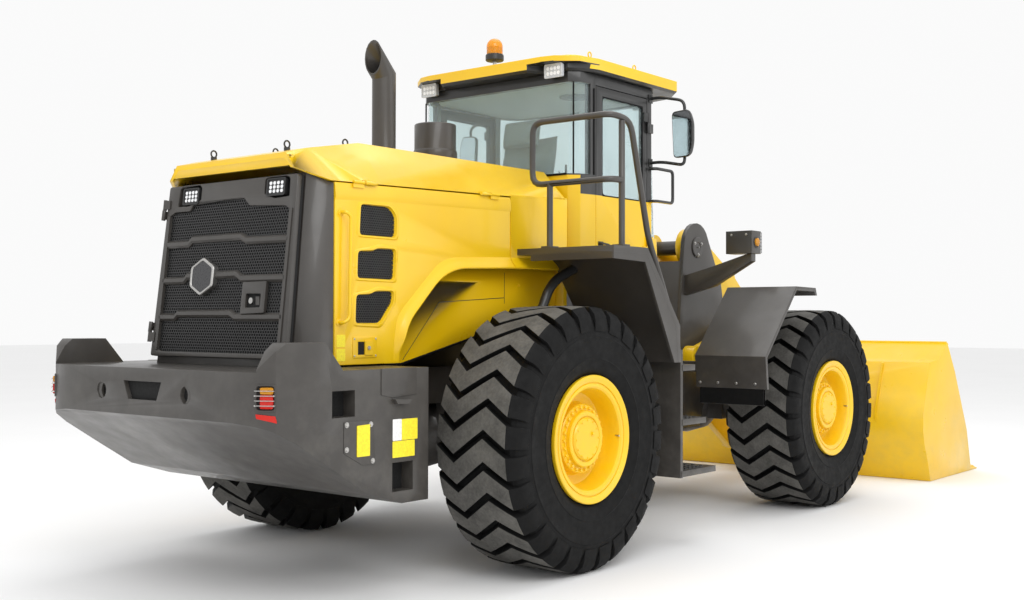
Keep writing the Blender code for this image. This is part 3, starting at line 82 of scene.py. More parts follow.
# ---------------------------------------------------------------- materials
class Finish:
    """A Principled material with the node helpers that the finishes below share."""

    def __init__(self, name, roughness=0.5, metallic=0.0, **constants):
        self.material = bpy.data.materials.new(name)
        self.material.use_nodes = True
        self.nodes = self.material.node_tree.nodes
        self.links = self.material.node_tree.links
        self.shader = self.nodes["Principled BSDF"]
        self.shader.inputs["Roughness"].default_value = roughness
        self.shader.inputs["Metallic"].default_value = metallic
        for socket, value in constants.items():
            self.shader.inputs[socket.replace("_", " ")].default_value = value
        self.place = self.nodes.new("ShaderNodeTexCoord").outputs["Object"]

    def noise(self, scale, detail=4.0, roughness=0.55, stretch=(1, 1, 1)):
        mapping = self.nodes.new("ShaderNodeMapping")
        mapping.inputs["Scale"].default_value = stretch
        self.links.new(self.place, mapping.inputs["Vector"])
        node = self.nodes.new("ShaderNodeTexNoise")
        node.inputs["Scale"].default_value = scale
        node.inputs["Detail"].default_value = detail
        node.inputs["Roughness"].default_value = roughness
        self.links.new(mapping.outputs["Vector"], node.inputs["Vector"])
        return node.outputs["Fac"]

    def remap(self, value, low, high, to_low=0.0, to_high=1.0):
        node = self.nodes.new("ShaderNodeMapRange")
        node.inputs["From Min"].default_value = low
        node.inputs["From Max"].default_value = high
        node.inputs["To Min"].default_value = to_low
        node.inputs["To Max"].default_value = to_high
        self.links.new(value, node.inputs["Value"])
        return node.outputs["Result"]

    def math(self, operation, a, b):
        node = self.nodes.new("ShaderNodeMath")
        node.operation = operation
        for socket, value in zip(node.inputs, (a, b)):
            if isinstance(value, (int, float)):
                socket.default_value = value
            else:
                self.links.new(value, socket)
        return node.outputs["Value"]

    def height(self):
        node = self.nodes.new("ShaderNodeSeparateXYZ")
        self.links.new(self.place, node.inputs["Vector"])
        return node.outputs["Z"]

    def mix(self, factor, a, b):
        node = self.nodes.new("ShaderNodeMix")
        node.data_type = "RGBA"
        if isinstance(factor, (int, float)):
            node.inputs["Factor"].default_value = factor
        else:
            self.links.new(factor, node.inputs["Factor"])
        for name, value in (("A", a), ("B", b)):
            socket = next(s for s in node.inputs if s.name == name and s.type == "RGBA")
            if isinstance(value, tuple):
                socket.default_value = (*value, 1)
            else:
                self.links.new(value, socket)
        return next(s for s in node.outputs if s.type == "RGBA")

    def colour(self, value):
        if isinstance(value, tuple):
            self.shader.inputs["Base Color"].default_value = (*value, 1)
        else:
            self.links.new(value, self.shader.inputs["Base Color"])

    def rough(self, value):
        self.links.new(value, self.shader.inputs["Roughness"])

    def bump(self, value, strength, distance):
        node = self.nodes.new("ShaderNodeBump")
        node.inputs["Strength"].default_value = strength
        node.inputs["Distance"].default_value = distance
        self.links.new(value, node.inputs["Height"])
        self.links.new(node.outputs["Normal"], self.shader.inputs["Normal"])


def painted(name, base, worn, roughness, dust=(0.30, 0.27, 0.22), dust_amount=0.25):
    """Sprayed paint: broad tone changes, dust low down, orange peel."""
    finish = Finish(name, roughness, Coat_Weight=0.25, Coat_Roughness=0.12)
    tone = finish.mix(finish.remap(finish.noise(1.6, 3), 0.35, 0.7), base, worn)
    low_down = finish.remap(finish.height(), 0.3, 1.5, dust_amount, dust_amount * 0.12)
    specks = finish.remap(finish.noise(9, 6, 0.65), 0.42, 0.72)
    finish.colour(finish.mix(finish.math("MULTIPLY", low_down, specks), tone, dust))
    finish.rough(finish.remap(finish.noise(5, 5), 0.3, 0.7, roughness - 0.06, roughness + 0.10))
    finish.bump(finish.noise(420, 2), 0.05, 0.0006)
    return finish.material


YELLOW = painted("paint_yellow", (0.860, 0.545, 0.003), (0.820, 0.500, 0.003), 0.33, (0.52, 0.38, 0.08))
RIM_YELLOW = painted("paint_rim", (0.900, 0.570, 0.003), (0.860, 0.525, 0.003), 0.36, (0.50, 0.36, 0.06))
GREY = painted("paint_grey", (0.050, 0.045, 0.040), (0.040, 0.036, 0.032), 0.42, (0.16, 0.15, 0.13), 0.35)
DARK = painted("paint_black", (0.020, 0.020, 0.020), (0.015, 0.015, 0.015), 0.40, (0.10, 0.095, 0.085), 0.3)


def rubber(name, base, dusty, amount, roughness=0.85):
    finish = Finish(name, roughness, Specular_IOR_Level=0.18)
    patches = finish.math("ADD", finish.math("MULTIPLY", finish.noise(7, 6, 0.6), 0.6),
                          finish.math("MULTIPLY", finish.noise(60, 4, 0.7), 0.4))
    finish.colour(finish.mix(finish.remap(patches, 0.30, 0.68, 0, amount), base, dusty))
    finish.rough(finish.remap(finish.noise(25, 4), 0.3, 0.7, roughness - 0.12, roughness + 0.05))
    finish.bump(finish.noise(160, 5, 0.7), 0.22, 0.002)
    return finish.material


TREAD = rubber("rubber_tread", (0.045, 0.044, 0.041), (0.150, 0.144, 0.132), 0.95)
RUBBER = rubber("rubber_sidewall", (0.0030, 0.0030, 0.0031), (0.0085, 0.0085, 0.0085), 0.6, 0.72)
HOSE = rubber("rubber_hose", (0.012, 0.012, 0.012), (0.03, 0.03, 0.028), 0.6, 0.55)


def metal(name, base, roughness, grain=0.08):
    finish = Finish(name, roughness, 1.0)
    streaks = finish.noise(40, 5, 0.6, (1, 1, 8))
    finish.colour(finish.mix(finish.remap(streaks, 0.3, 0.7), base, tuple(c * 0.82 for c in base)))
    finish.rough(finish.remap(streaks, 0.3, 0.7, roughness, roughness + grain))
    finish.bump(finish.noise(300, 3), 0.05, 0.0005)
    return finish.material


CHROME = metal("chrome", (0.78, 0.78, 0.78), 0.10)
STEEL = metal("zinc_steel", (0.55, 0.54, 0.52), 0.34, 0.12)


def clear(name, tint, roughness=0.03, transmission=0.88, ior=1.12):
    finish = Finish(name, roughness, Transmission_Weight=transmission, IOR=ior)
    smear = finish.noise(3, 4, 0.6)
    finish.colour(finish.mix(finish.remap(smear, 0.35, 0.7), tint, tuple(c * 0.93 for c in tint)))
    finish.rough(finish.remap(smear, 0.3, 0.7, roughness, roughness + 0.03))
    return finish.material


GLASS = clear("glass_tinted", (0.83, 0.93, 0.94))
AMBER = clear("lens_amber", (1.0, 0.42, 0.02), 0.12, 0.45, 1.45)
RED = clear("lens_red", (0.75, 0.02, 0.01), 0.15, 0.25, 1.45)
LENS = clear("lens_clear", (0.95, 0.97, 1.0), 0.08, 0.35, 1.45)
MIRROR = metal("mirror_glass", (0.80, 0.83, 0.86), 0.03, 0.02)


def moulded(name, base, roughness, scale=90):
    finish = Finish(name, roughness)
    grain = finish.noise(scale, 4, 0.6)
    finish.colour(finish.mix(finish.remap(grain, 0.3, 0.75), base, tuple(min(1, c * 1.35) for c in base)))
    finish.rough(finish.remap(grain, 0.3, 0.7, roughness - 0.08, roughness + 0.08))
    finish.bump(grain, 0.10, 0.001)
    return finish.material


PLASTIC = moulded("plastic_black", (0.018, 0.018, 0.018), 0.45)
INTERIOR = moulded("cab_trim", (0.20, 0.22, 0.21), 0.6)
HEADLINER = moulded("cab_headliner", (0.62, 0.66, 0.63), 0.8)
LAMP_BODY = moulded("lamp_body", (0.48, 0.49, 0.50), 0.35)
LABEL_YELLOW = moulded("label_yellow", (0.82, 0.64, 0.02), 0.4)
LABEL_WHITE = moulded("label_white", (0.72, 0.72, 0.70), 0.4)
BADGE_FACE = moulded("badge_face", (0.030, 0.030, 0.032), 0.3)
LAMP_CHIP = moulded("lamp_chips", (0.80, 0.82, 0.84), 0.25)
# Painted shade: a near-black sheet set behind openings and holes, where there is only shade.
PAINTED_SHADE = moulded("grille_shadow", (0.006, 0.006, 0.006), 0.9)


def woven(name, base, light):
    """Cloth with a fine weave and soft wear."""
    finish = Finish(name, 0.85, Sheen_Weight=0.3)
    waves = []
    for direction in ("X", "Z"):
        wave = finish.nodes.new("ShaderNodeTexWave")
        wave.bands_direction = direction
        wave.inputs["Scale"].default_value = 130
        finish.links.new(finish.place, wave.inputs["Vector"])
        waves.append(wave.outputs["Fac"])
    weave = finish.math("MULTIPLY", *waves)
    tone = finish.mix(finish.remap(finish.noise(6, 4), 0.3, 0.7), base, light)
    finish.colour(finish.mix(finish.remap(weave, 0, 1, 0, 0.35), tone, (0.01, 0.01, 0.01)))
    finish.bump(weave, 0.35, 0.0015)
    return finish.material


SEAT_CLOTH = woven("seat_cloth", (0.200, 0.235, 0.225), (0.290, 0.330, 0.315))


# ---------------------------------------------------------------- mesh helpers
def across(axis):
    """Two unit vectors square to an axis and to each other."""
    axis = Vector(axis).normalized()
    first = axis.cross(Vector((0, 0, 1)) if abs(axis.z) < 0.9 else Vector((1, 0, 0))).normalized()
    return axis, first, axis.cross(first)


def rounded(points, radius, steps=4):
    """Round the corners of an open path of points."""
    points = [Vector(p) for p in points]
    path = [points[0]]
    for before, corner, after in zip(points, points[1:], points[2:]):
        a, b = (before - corner).normalized(), (after - corner).normalized()
        reach = min(radius, (before - corner).length / 2, (after - corner).length / 2)
        start, end = corner + a * reach, corner + b * reach
        for k in range(steps + 1):
            t = k / steps
            path.append(start * (1 - t) ** 2 + corner * 2 * t * (1 - t) + end * t ** 2)
    return path + [points[-1]]


class Piece:
    """Gathers closed shapes into one mesh object that rides a body."""

    def __init__(self, name, body, *finishes):
        self.name, self.body, self.finishes = name, body, finishes
        self.vertices, self.faces, self.slots = [], [], []

    def add(self, vertices, faces, slot=0):
        first = len(self.vertices)
        self.vertices += [tuple(v) for v in vertices]
        for k, face in enumerate(faces):
            self.faces.append(tuple(first + i for i in face))
            self.slots.append(slot if isinstance(slot, int) else slot[k])
        return self

    def loft(self, rings, slot=0, closed=False, caps=True):
        count = len(rings[0])
        faces = []
        for i in range(len(rings) if closed else len(rings) - 1):
            a, b = i * count, (i + 1) % len(rings) * count
            faces += [(a + k, a + (k + 1) % count, b + (k + 1) % count, b + k) for k in range(count)]
        if caps and not closed:
            last = (len(rings) - 1) * count
            faces += [tuple(range(count)), tuple(range(last, last + count))]
        return self.add([p for ring in rings for p in ring], faces, slot)

    def box(self, low, high, slot=0):
        (x0, y0, z0), (x1, y1, z1) = low, high
        return self.loft([[(x0, y0, z), (x1, y0, z), (x1, y1, z), (x0, y1, z)] for z in (z0, z1)], slot)

    def side_prism(self, outline, y0, y1, slot=0):
        """An outline in (x, z) between two widths."""
        return self.loft([[(x, y, z) for x, z in outline] for y in (y0, y1)], slot)

    def plan_prism(self, outline, z0, z1, slot=0):
        """An outline in (x, y) between two heights."""
        return self.loft([[(x, y, z) for x, y in outline] for z in (z0, z1)], slot)

    def lathe(self, profile, centre, axis, segments=32, slot=0, closed=False):
        axis, u, v = across(axis)
        centre = Vector(centre)
        turns = [2 * math.pi * k / segments for k in range(segments)]
        rings = [[centre + axis * h + (u * math.cos(a) + v * math.sin(a)) * r for a in turns]
                 for r, h in profile]
        return self.loft(rings, slot, closed)

    def rod(self, start, end, radius, segments=16, slot=0):
        start, end = Vector(start), Vector(end)
        return self.lathe([(radius, 0), (radius, (end - start).length)], start, end - start, segments, slot)

    def tube(self, path, radius, segments=10, slot=0):
        points = [Vector(p) for p in path]
        path = points[:1] + [b for a, b in zip(points, points[1:]) if (b - a).length > 1e-5]
        runs = [(b - a).normalized() for a, b in zip(path, path[1:])]
        _, u, v = across(runs[0])
        turns = [2 * math.pi * k / segments for k in range(segments)]
        ring = [path[0] + (u * math.cos(turn) + v * math.sin(turn)) * radius for turn in turns]
        rings = [ring]
        for i in range(1, len(path)):
            run = runs[i - 1]
            normal = (run + runs[min(i, len(runs) - 1)]).normalized()
            ring = [p + run * ((path[i] - p).dot(normal) / run.dot(normal)) for p in ring]
            rings.append(ring)
        return self.loft(rings, slot)

    def bolt(self, foot, axis, radius=0.012, height=0.010, slot=0):
        """A washer, a hexagon head and its domed top."""
        self.lathe([(radius * 1.45, 0), (radius * 1.45, height * 0.2)], foot, axis, 16, slot)
        start = Vector(foot) + Vector(axis).normalized() * height * 0.2
        return self.lathe([(radius, 0), (radius, height * 0.7), (radius * 0.8, height * 0.85)], start, axis,
                          6, slot)

    def ball(self, centre, radius, slot=0, segments=12):
        profile = [(radius * math.sin(math.pi * k / 8) + 1e-5, -radius * math.cos(math.pi * k / 8))
                   for k in range(9)]
        return self.lathe(profile, centre, (0, 0, 1), segments, slot)

    def done(self, bevel=0.0, angle=32, segments=2, replaces=()):
        mesh = bpy.data.meshes.new(self.name)
        mesh.from_pydata(self.vertices, [], self.faces)
        for finish in self.finishes:
            mesh.materials.append(finish)
        mesh.polygons.foreach_set("material_index", self.slots)
        return finished(self.name, mesh, self.body, bevel, angle, segments, replaces)


def finished(name, mesh, body, bevel, angle, segments, replaces):
    """Turn a mesh's faces outwards, soften its edges and let it ride its body."""
    work = bmesh.new()
    work.from_mesh(mesh)
    bmesh.ops.recalc_face_normals(work, faces=work.faces)
    work.to_mesh(mesh)
    work.free()
    obj = bpy.data.objects.new(name, mesh)
    bpy.context.scene.collection.objects.link(obj)
    mesh.shade_smooth()
    if bevel:
        modifier = obj.modifiers.new("soft_edges", "BEVEL")
        modifier.width = bevel
        modifier.segments = segments
        modifier.limit_method = "ANGLE"
        modifier.angle_limit = math.radians(angle)
        modifier.harden_normals = True
        graph = bpy.context.evaluated_depsgraph_get()
        obj.data = bpy.data.meshes.new_from_object(obj.evaluated_get(graph))
        obj.modifiers.clear()
        obj.data.name = name
    else:
        mesh.set_sharp_from_angle(angle=math.radians(angle))
    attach(obj, body)
    if replaces:
        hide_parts(*replaces)
    return obj


def dress(node, finish, bevel=0.004, sort=None, cuts=()):
    """Stand a soft-edged copy in for a CAD node.

    `sort` picks a finish for each face, and `cuts` are heights where the faces are split first.
    """
    mesh = frame["nodes"][node].data.copy()
    work = bmesh.new()
    work.from_mesh(mesh)
    bmesh.ops.remove_doubles(work, verts=work.verts, dist=2e-5)
    bmesh.ops.dissolve_limit(work, angle_limit=math.radians(0.8), verts=work.verts, edges=work.edges)
    for height in cuts:
        parts = work.verts[:] + work.edges[:] + work.faces[:]
        bmesh.ops.bisect_plane(work, geom=parts, plane_co=(0, 0, height), plane_no=(0, 0, 1))
    work.to_mesh(mesh)
    work.free()
    mesh.materials.clear()
    finishes = finish if isinstance(finish, tuple) else (finish,)
    for each in finishes:
        mesh.materials.append(each)
    for face in mesh.polygons:
        face.material_index = sort(face) if sort else 0
    return finished(f"{node}_skin", mesh, BODY_OF[node], bevel, 30, 2, (node,))


# ---------------------------------------------------------------- wheels
PITCHES = 28
BAR_SHARE = 0.73            # of a pitch that is bar, the rest being groove
GROOVE_DEPTH = 0.048
TREAD_HALF = 0.250
CROWN_DROP = 0.006


def zigzag(s):
    """How far along the tread, in pitches, a bar has moved at share s of the way across it."""
    knots = ((-1.0, -0.02), (0.0, 0.0), (0.32, 0.57), (0.75, -0.27), (1.0, 0.26), (2.0, 0.30))
    for (s0, v0), (s1, v1) in zip(knots, knots[1:]):
        if s <= s1:
            return v0 + (v1 - v0) * (s - s0) / (s1 - s0)
    return knots[-1][1]


def tread_stations():
    """(share across, sideways place, top radius, foot radius) of each section of a tread bar."""
    edge = TYRE_RADIUS - CROWN_DROP
    shoulder = [(0.2995, edge - 0.125, 0.02), (0.299, edge - 0.085, 0.03), (0.288, edge - 0.042, 0.045)]
    stations = [(-0.4 - 0.2 * (2 - k), y, r, r - depth) for k, (y, r, depth) in enumerate(shoulder)]
    for s in (0.0, 0.11, 0.22, 0.32, 0.46, 0.61, 0.75, 0.88, 1.0):
        y = TREAD_HALF * (1 - 2 * s)
        radius = TYRE_RADIUS - CROWN_DROP * abs(1 - 2 * s) ** 3
        stations.append((s, y, radius, TYRE_RADIUS - GROOVE_DEPTH - 0.02))
    stations += [(1.4 + 0.2 * k, -y, r, r - depth) for k, (y, r, depth) in enumerate(reversed(shoulder))]
    return stations


def tyre(x, side, end, hand):
    """A carcass with chevron bars that run over both shoulders."""
    piece = Piece(f"tyre_{end}_{hand}_treaded", BODY_OF[f"tyre_{end}_{hand}"], RUBBER, TREAD)
    centre = Vector((x, side * HALF_TRACK, AXLE_Z))
    floor = TYRE_RADIUS - GROOVE_DEPTH
    half = [(0.3178, 0.2535), (0.384, 0.2535), (0.392, 0.262), (0.405, 0.272), (0.432, 0.283),
            (0.470, 0.291), (0.476, 0.2945), (0.482, 0.2915), (0.540, 0.2965), (0.604, 0.2965),
            (0.608, 0.2985), (0.613, 0.2985), (0.617, 0.2960), (0.660, 0.2940), (0.690, 0.2860),
            (0.722, 0.272), (floor - 0.003, 0.245), (floor, 0.16)]
    profile = half + [(r, -y) for r, y in reversed(half)]
    piece.lathe(profile, centre, (0, 1, 0), 112, 0, closed=True)
    pitch = 2 * math.pi / PITCHES
    for k in range(PITCHES):
        rings = []
        for s, y, top, foot in tread_stations():
            start = (k + zigzag(s)) * pitch
            ring = []
            for share, radius in ((-0.03, foot), (0.0, top), (BAR_SHARE / 2, top), (BAR_SHARE, top),
                                  (BAR_SHARE + 0.03, foot)):
                turn = start + share * pitch
                ring.append(centre + Vector((-radius * math.cos(turn), side * y, radius * math.sin(turn))))
            rings.append(ring)
        slots = []
        for i in range(len(rings) - 1):
            on_tread = 3 <= i <= len(rings) - 5
            slots += [0, 1 if on_tread else 0, 1 if on_tread else 0, 0, 0]
        piece.loft(rings, slots + [0, 0])
    piece.done(0.0035, 28, 1, (f"tyre_{end}_{hand}",))


def rim(x, side, end, hand):
    """A multi-piece rim with its lock ring, dished disc, bolted hub and planetary cover."""
    node = f"rim_{end}_{hand}"
    piece = Piece(f"{node}_bolted", BODY_OF[node], RIM_YELLOW, DARK, STEEL)
    centre = Vector((x, side * HALF_TRACK, AXLE_Z))
    axis = Vector((0, side, 0))
    disc = 0.134
    profile = [(0.001, disc + 0.106), (0.118, disc + 0.106), (0.124, disc + 0.100), (0.128, disc + 0.094),
               (0.128, disc + 0.088), (0.133, disc + 0.088), (0.137, disc + 0.096), (0.143, disc + 0.099),
               (0.160, disc + 0.099), (0.166, disc + 0.094), (0.168, disc + 0.070), (0.172, disc + 0.066),
               (0.200, disc + 0.066), (0.206, disc + 0.060), (0.206, disc + 0.030), (0.212, disc + 0.006),
               (0.222, disc), (0.262, disc), (0.276, disc + 0.006), (0.286, disc + 0.022),
               (0.292, disc + 0.060), (0.296, 0.244), (0.302, 0.262), (0.312, 0.270), (0.326, 0.272),
               (0.330, 0.2715), (0.333, 0.265), (0.337, 0.265), (0.340, 0.2725), (0.352, 0.2760),
               (0.366, 0.2835), (0.376, 0.2840), (0.3805, 0.280), (0.381, 0.270), (0.378, 0.256),
               (0.366, 0.2545), (0.3176, 0.2540), (0.3175, -0.2540), (0.380, -0.2545), (0.381, -0.280),
               (0.372, -0.284), (0.300, -0.276), (0.2955, -0.250), (0.2955, 0.100), (0.240, 0.104),
               (0.001, 0.104),]
    piece.lathe(profile, centre, axis, 120)
    bolts = ((26, 0.187, disc + 0.066, 0.0095, 0.012, 0), (12, 0.111, disc + 0.106, 0.005, 0.005, 0))
    for count, radius, height, size, tall, slot in bolts:
        for k in range(count):
            turn = 2 * math.pi * k / count
            foot = centre + axis * height + Vector((math.cos(turn), 0, math.sin(turn))) * radius
            piece.bolt(foot, axis, size, tall, slot)
    piece.bolt(centre + axis * (disc + 0.106) + Vector((0.05, 0, 0.03)), axis, 0.012, 0.010, 0)
    valve = centre + axis * 0.262 + Vector((0.300, 0, 0))
    piece.tube([valve - axis * 0.03, valve + axis * 0.008 - Vector((0.012, 0, 0))], 0.005, 8, 2)
    piece.done(0.0, 30, 1, (node,))


for end, x in (("rear", REAR_WHEEL.x), ("front", FRONT_WHEEL.x)):
    for side, hand in SIDES:
        tyre(x, side, end, hand)
        rim(x, side, end, hand)


# ---------------------------------------------------------------- plain dressed pieces
SILL_LOW, SILL_HIGH = 2.362, 2.490


def cab_sort(face):
    """Yellow below the sill, black frames above it, trim inside."""
    x, y, z = face.center
    outwards = face.normal.y * y + face.normal.x * (x - rear(1.4))
    inside = abs(y) < 0.712 and rear(0.84) < x < rear(1.99) and z > 1.85
    if inside and outwards < 0.02:
        return 2
    return 1 if z > (SILL_LOW if x > rear(0.93) else SILL_HIGH) else 0


for node in ("rear_frame", "front_frame", "counterweight", "radiator_tower", "exhaust_stack",
             "air_precleaner", "rear_axle", "front_axle", "engine_and_transmission"):
    dress(node, GREY if node not in ("engine_and_transmission",) else DARK, 0.006)
for name in ("rear_fender", "ladder", "handrail", "front_fender", "headlight_bracket"):
    for side, hand in SIDES:
        dress(f"{name}_{hand}", GREY, 0.003)
for node in ("hood", "boom", "bellcrank", "bucket_link"):
    dress(node, YELLOW, 0.008)
dress("bucket", YELLOW, 0.005)
dress("cab_body", (YELLOW, DARK, INTERIOR), 0.004, sort=cab_sort, cuts=(SILL_LOW, SILL_HIGH))
dress("steering_console", PLASTIC, 0.004)
for side, hand in SIDES:
    dress(f"cab_door_{hand}", (YELLOW, DARK), 0.004, sort=lambda face: int(face.center[2] > SILL_LOW),
          cuts=(SILL_LOW,))
    dress(f"lift_cylinder_{hand}_barrel", YELLOW)
    dress(f"lift_cylinder_{hand}_rod", CHROME, 0.002)
    dress(f"steering_cylinder_{hand}_barrel", YELLOW)
    dress(f"steering_cylinder_{hand}_rod", CHROME, 0.002)
dress("tilt_cylinder_barrel", YELLOW)
dress("tilt_cylinder_rod", CHROME, 0.002)
for node in ("rear_glass", "windscreen", "door_glass_left", "door_glass_right"):
    dress(node, GLASS, 0.0)


# ---------------------------------------------------------------- shared details
def on_side(side, y):
    """Places a flat (u, v, out) drawing on a vertical side plane: u is x from the rear axle, v is z."""
    return lambda u, v, w=0.0: Vector((rear(u), side * (y + w), v))


def flat_plate(piece, outlines, place, thickness, bevel=0.004, slot=0):
    """A plate with holes and rounded rims; the first outline is its edge and the others are holes."""
    curve = bpy.data.curves.new("plate", "CURVE")
    curve.dimensions = "2D"
    curve.fill_mode = "BOTH"
    curve.extrude = thickness / 2 - bevel
    curve.bevel_depth = bevel
    curve.bevel_resolution = 2
    curve.offset = -bevel
    for outline in outlines:
        spline = curve.splines.new("POLY")
        spline.points.add(len(outline) - 1)
        for point, (u, v) in zip(spline.points, outline):
            point.co = (u, v, 0, 1)
        spline.use_cyclic_u = True
    holder = bpy.data.objects.new("plate", curve)
    bpy.context.scene.collection.objects.link(holder)
    graph = bpy.context.evaluated_depsgraph_get()
    mesh = bpy.data.meshes.new_from_object(holder.evaluated_get(graph))
    work = bmesh.new()
    work.from_mesh(mesh)
    bmesh.ops.remove_doubles(work, verts=work.verts, dist=1e-6)
    work.verts.index_update()
    piece.add([place(v.co.x, v.co.y, v.co.z - thickness / 2) for v in work.verts],
              [[v.index for v in f.verts] for f in work.faces], slot)
    work.free()
    bpy.data.objects.remove(holder)
    bpy.data.curves.remove(curve)
    bpy.data.meshes.remove(mesh)


def soft_outline(points, radius=0.012, steps=3):
    """Round every corner of a closed (u, v) outline."""
    result = []
    count = len(points)
    for i in range(count):
        before, corner, after = (Vector(points[(i + k) % count]) for k in (-1, 0, 1))
        a, b = (before - corner).normalized(), (after - corner).normalized()
        reach = min(radius, (before - corner).length / 2.1, (after - corner).length / 2.1)
        start, end = corner + a * reach, corner + b * reach
        for k in range(steps + 1):
            t = k / steps
            result.append(tuple(start * (1 - t) ** 2 + corner * 2 * t * (1 - t) + end * t ** 2))
    return result


def grown(points, distance):
    """A closed (u, v) outline moved outwards from its centre by about a distance."""
    centre = sum((Vector(p) for p in points), Vector((0, 0))) / len(points)
    return [tuple(Vector(p) + (Vector(p) - centre).normalized() * distance) for p in points]


def within(point, outline):
    """Whether a (u, v) point lies in a closed outline."""
    u, v = point
    inside = False
    for (u0, v0), (u1, v1) in zip(outline, outline[1:] + outline[:1]):
        if (v0 > v) != (v1 > v) and u < (u1 - u0) * (v - v0) / (v1 - v0) + u0:
            inside = not inside
    return inside


def hex_mesh(piece, outline, place, pitch=0.021, wall=0.0032, depth=0.004, slot=0):
    """Punched hexagon mesh over a closed (u, v) outline; its rim is hidden by the frame around it."""
    us, vs = [p[0] for p in outline], [p[1] for p in outline]
    row_height = pitch * 0.5 * math.sqrt(3) * 0.9
    size = pitch / math.sqrt(3)
    rows = int((max(vs) - min(vs)) / row_height) + 1
    columns = int((max(us) - min(us)) / pitch) + 1
    turns = [math.radians(30 + 60 * k) for k in range(6)]
    for j in range(rows + 1):
        for i in range(columns + 1):
            u = min(us) + (i + 0.5 * (j % 2)) * pitch
            v = min(vs) + j * row_height
            if not within((u, v), outline):
                continue
            rings = []
            for radius, out in ((size, 0.0), (size - wall, 0.0), (size - wall - 0.0006, -depth)):
                rings.append([place(u + radius * math.cos(a), v + 0.9 * radius * math.sin(a), out)
                              for a in turns])
            piece.loft(rings, slot, caps=False)


def work_lamp(piece, centre, facing, up, width, height, depth=0.045, grid=(4, 2)):
    """A square LED work lamp: a housing and a grid of bright chips. Slots: housing, chips."""
    facing, up = Vector(facing).normalized(), Vector(up).normalized()
    right = facing.cross(up).normalized()
    centre = Vector(centre)

    def rect(w, h, out):
        corner = min(w, h) * 0.12
        points = soft_outline([(-w / 2, -h / 2), (w / 2, -h / 2), (w / 2, h / 2), (-w / 2, h / 2)], corner)
        return [centre + right * a + up * b + facing * out for a, b in points]

    housing, chips = 0, 1
    piece.loft([rect(width * 0.9, height * 0.9, -depth), rect(width, height, -depth * 0.3),
                rect(width, height, 0.0), rect(width - 0.012, height - 0.012, 0.0),
                rect(width - 0.016, height - 0.016, -0.006)], housing)
    for i in range(grid[0]):
        for j in range(grid[1]):
            a = ((i + 0.5) / grid[0] - 0.5) * (width - 0.03)
            b = ((j + 0.5) / grid[1] - 0.5) * (height - 0.03)
            spot = centre + right * a + up * b - facing * 0.005
            size = min((width - 0.03) / grid[0], (height - 0.03) / grid[1]) * 0.46
            piece.lathe([(size, 0), (size * 0.9, 0.003), (size * 0.55, 0.0008), (0.001, 0.0008)], spot,
                        facing, 14, chips)


def label(name, body, place, outline, finish, thickness=0.0012):
    """A plain blank sticker."""
    piece = Piece(name, body, finish)
    rings = [[place(u, v, w) for u, v in soft_outline(outline, 0.004, 2)] for w in (-0.001, thickness)]
    piece.loft(rings)
    return piece.done()


def hose(name, body, path, radius=0.012, bend=0.08, ends=True):
    """A hydraulic hose with crimped end fittings."""
    piece = Piece(name, body, HOSE, STEEL)
    line = rounded(path, bend, 6)
    piece.tube(line, radius, 12, 0)
    if ends:
        for a, b in ((line[0], line[1]), (line[-1], line[-2])):
            run = (b - a).normalized()
            piece.rod(a - run * 0.005, a + run * 0.05, radius * 1.35, 12, 1)
    return piece.done()


# ---------------------------------------------------------------- engine side doors
DOOR_Y = 0.70
DOOR_EDGE = ((-1.376, 1.245), (-0.875, 1.245), (-0.838, 1.474), (-0.564, 1.743), (-0.408, 1.810),
             (0.13, 1.826), (0.13, 2.278), (-1.376, 2.243))
VENTS = (
    ((-1.185, 2.137), (-0.961, 2.137), (-0.907, 2.086), (-0.910, 1.964), (-1.195, 1.965)),
    ((-1.206, 1.875), (-1.087, 1.881), (-1.053, 1.896), (-0.912, 1.897), (-0.921, 1.721), (-1.211, 1.725)),
    ((-1.218, 1.632), (-1.103, 1.638), (-1.067, 1.655), (-0.927, 1.658), (-0.929, 1.595), (-1.033, 1.472),
     (-1.224, 1.474)),
)
FLARE_OUTER = ((-0.925, 1.262), (-0.921, 1.349), (-0.898, 1.516), (-0.539, 1.839), (-0.421, 1.872),
               (0.13, 1.893))
FLARE_INNER = ((-0.880, 1.262), (-0.879, 1.306), (-0.838, 1.474), (-0.564, 1.743), (-0.408, 1.804),
               (0.13, 1.823))


def resample(path, count):
    """A smooth run of evenly shared points along a path with its corners rounded."""
    path = rounded([(u, v, 0) for u, v in path], 0.09, 8)
    lengths = [0.0]
    for a, b in zip(path, path[1:]):
        lengths.append(lengths[-1] + (b - a).length)
    result = []
    for k in range(count):
        target = lengths[-1] * k / (count - 1)
        i = max(i for i in range(len(lengths) - 1) if lengths[i] <= target + 1e-9)
        t = (target - lengths[i]) / max(lengths[i + 1] - lengths[i], 1e-9)
        result.append(path[i].lerp(path[i + 1], min(t, 1)))
    return result


def flare(piece, outer, inner, side, slot=0, fade_start=0.12):
    """A pressed lip that swells out of the panel towards the wheel arch and turns in at its edge."""
    count = 56
    rings = []
    for k, (a, b) in enumerate(zip(resample(outer, count), resample(inner, count))):
        t = k / (count - 1)
        swell = min(1.0, t / fade_start) if fade_start else 1.0
        swell = swell * swell * (3 - 2 * swell)
        ring = []
        for share, out in ((-0.15, -0.010), (0.0, 0.0005), (0.22, 0.005), (0.45, 0.016), (0.70, 0.030),
                           (0.90, 0.038), (1.0, 0.036), (1.03, 0.028), (1.02, -0.05)):
            spot = a.lerp(b, share)
            ring.append((rear(spot.x), side * (DOOR_Y + (out * swell if out > 0 else out)), spot.y))
        rings.append(ring)
    piece.loft(rings, slot)


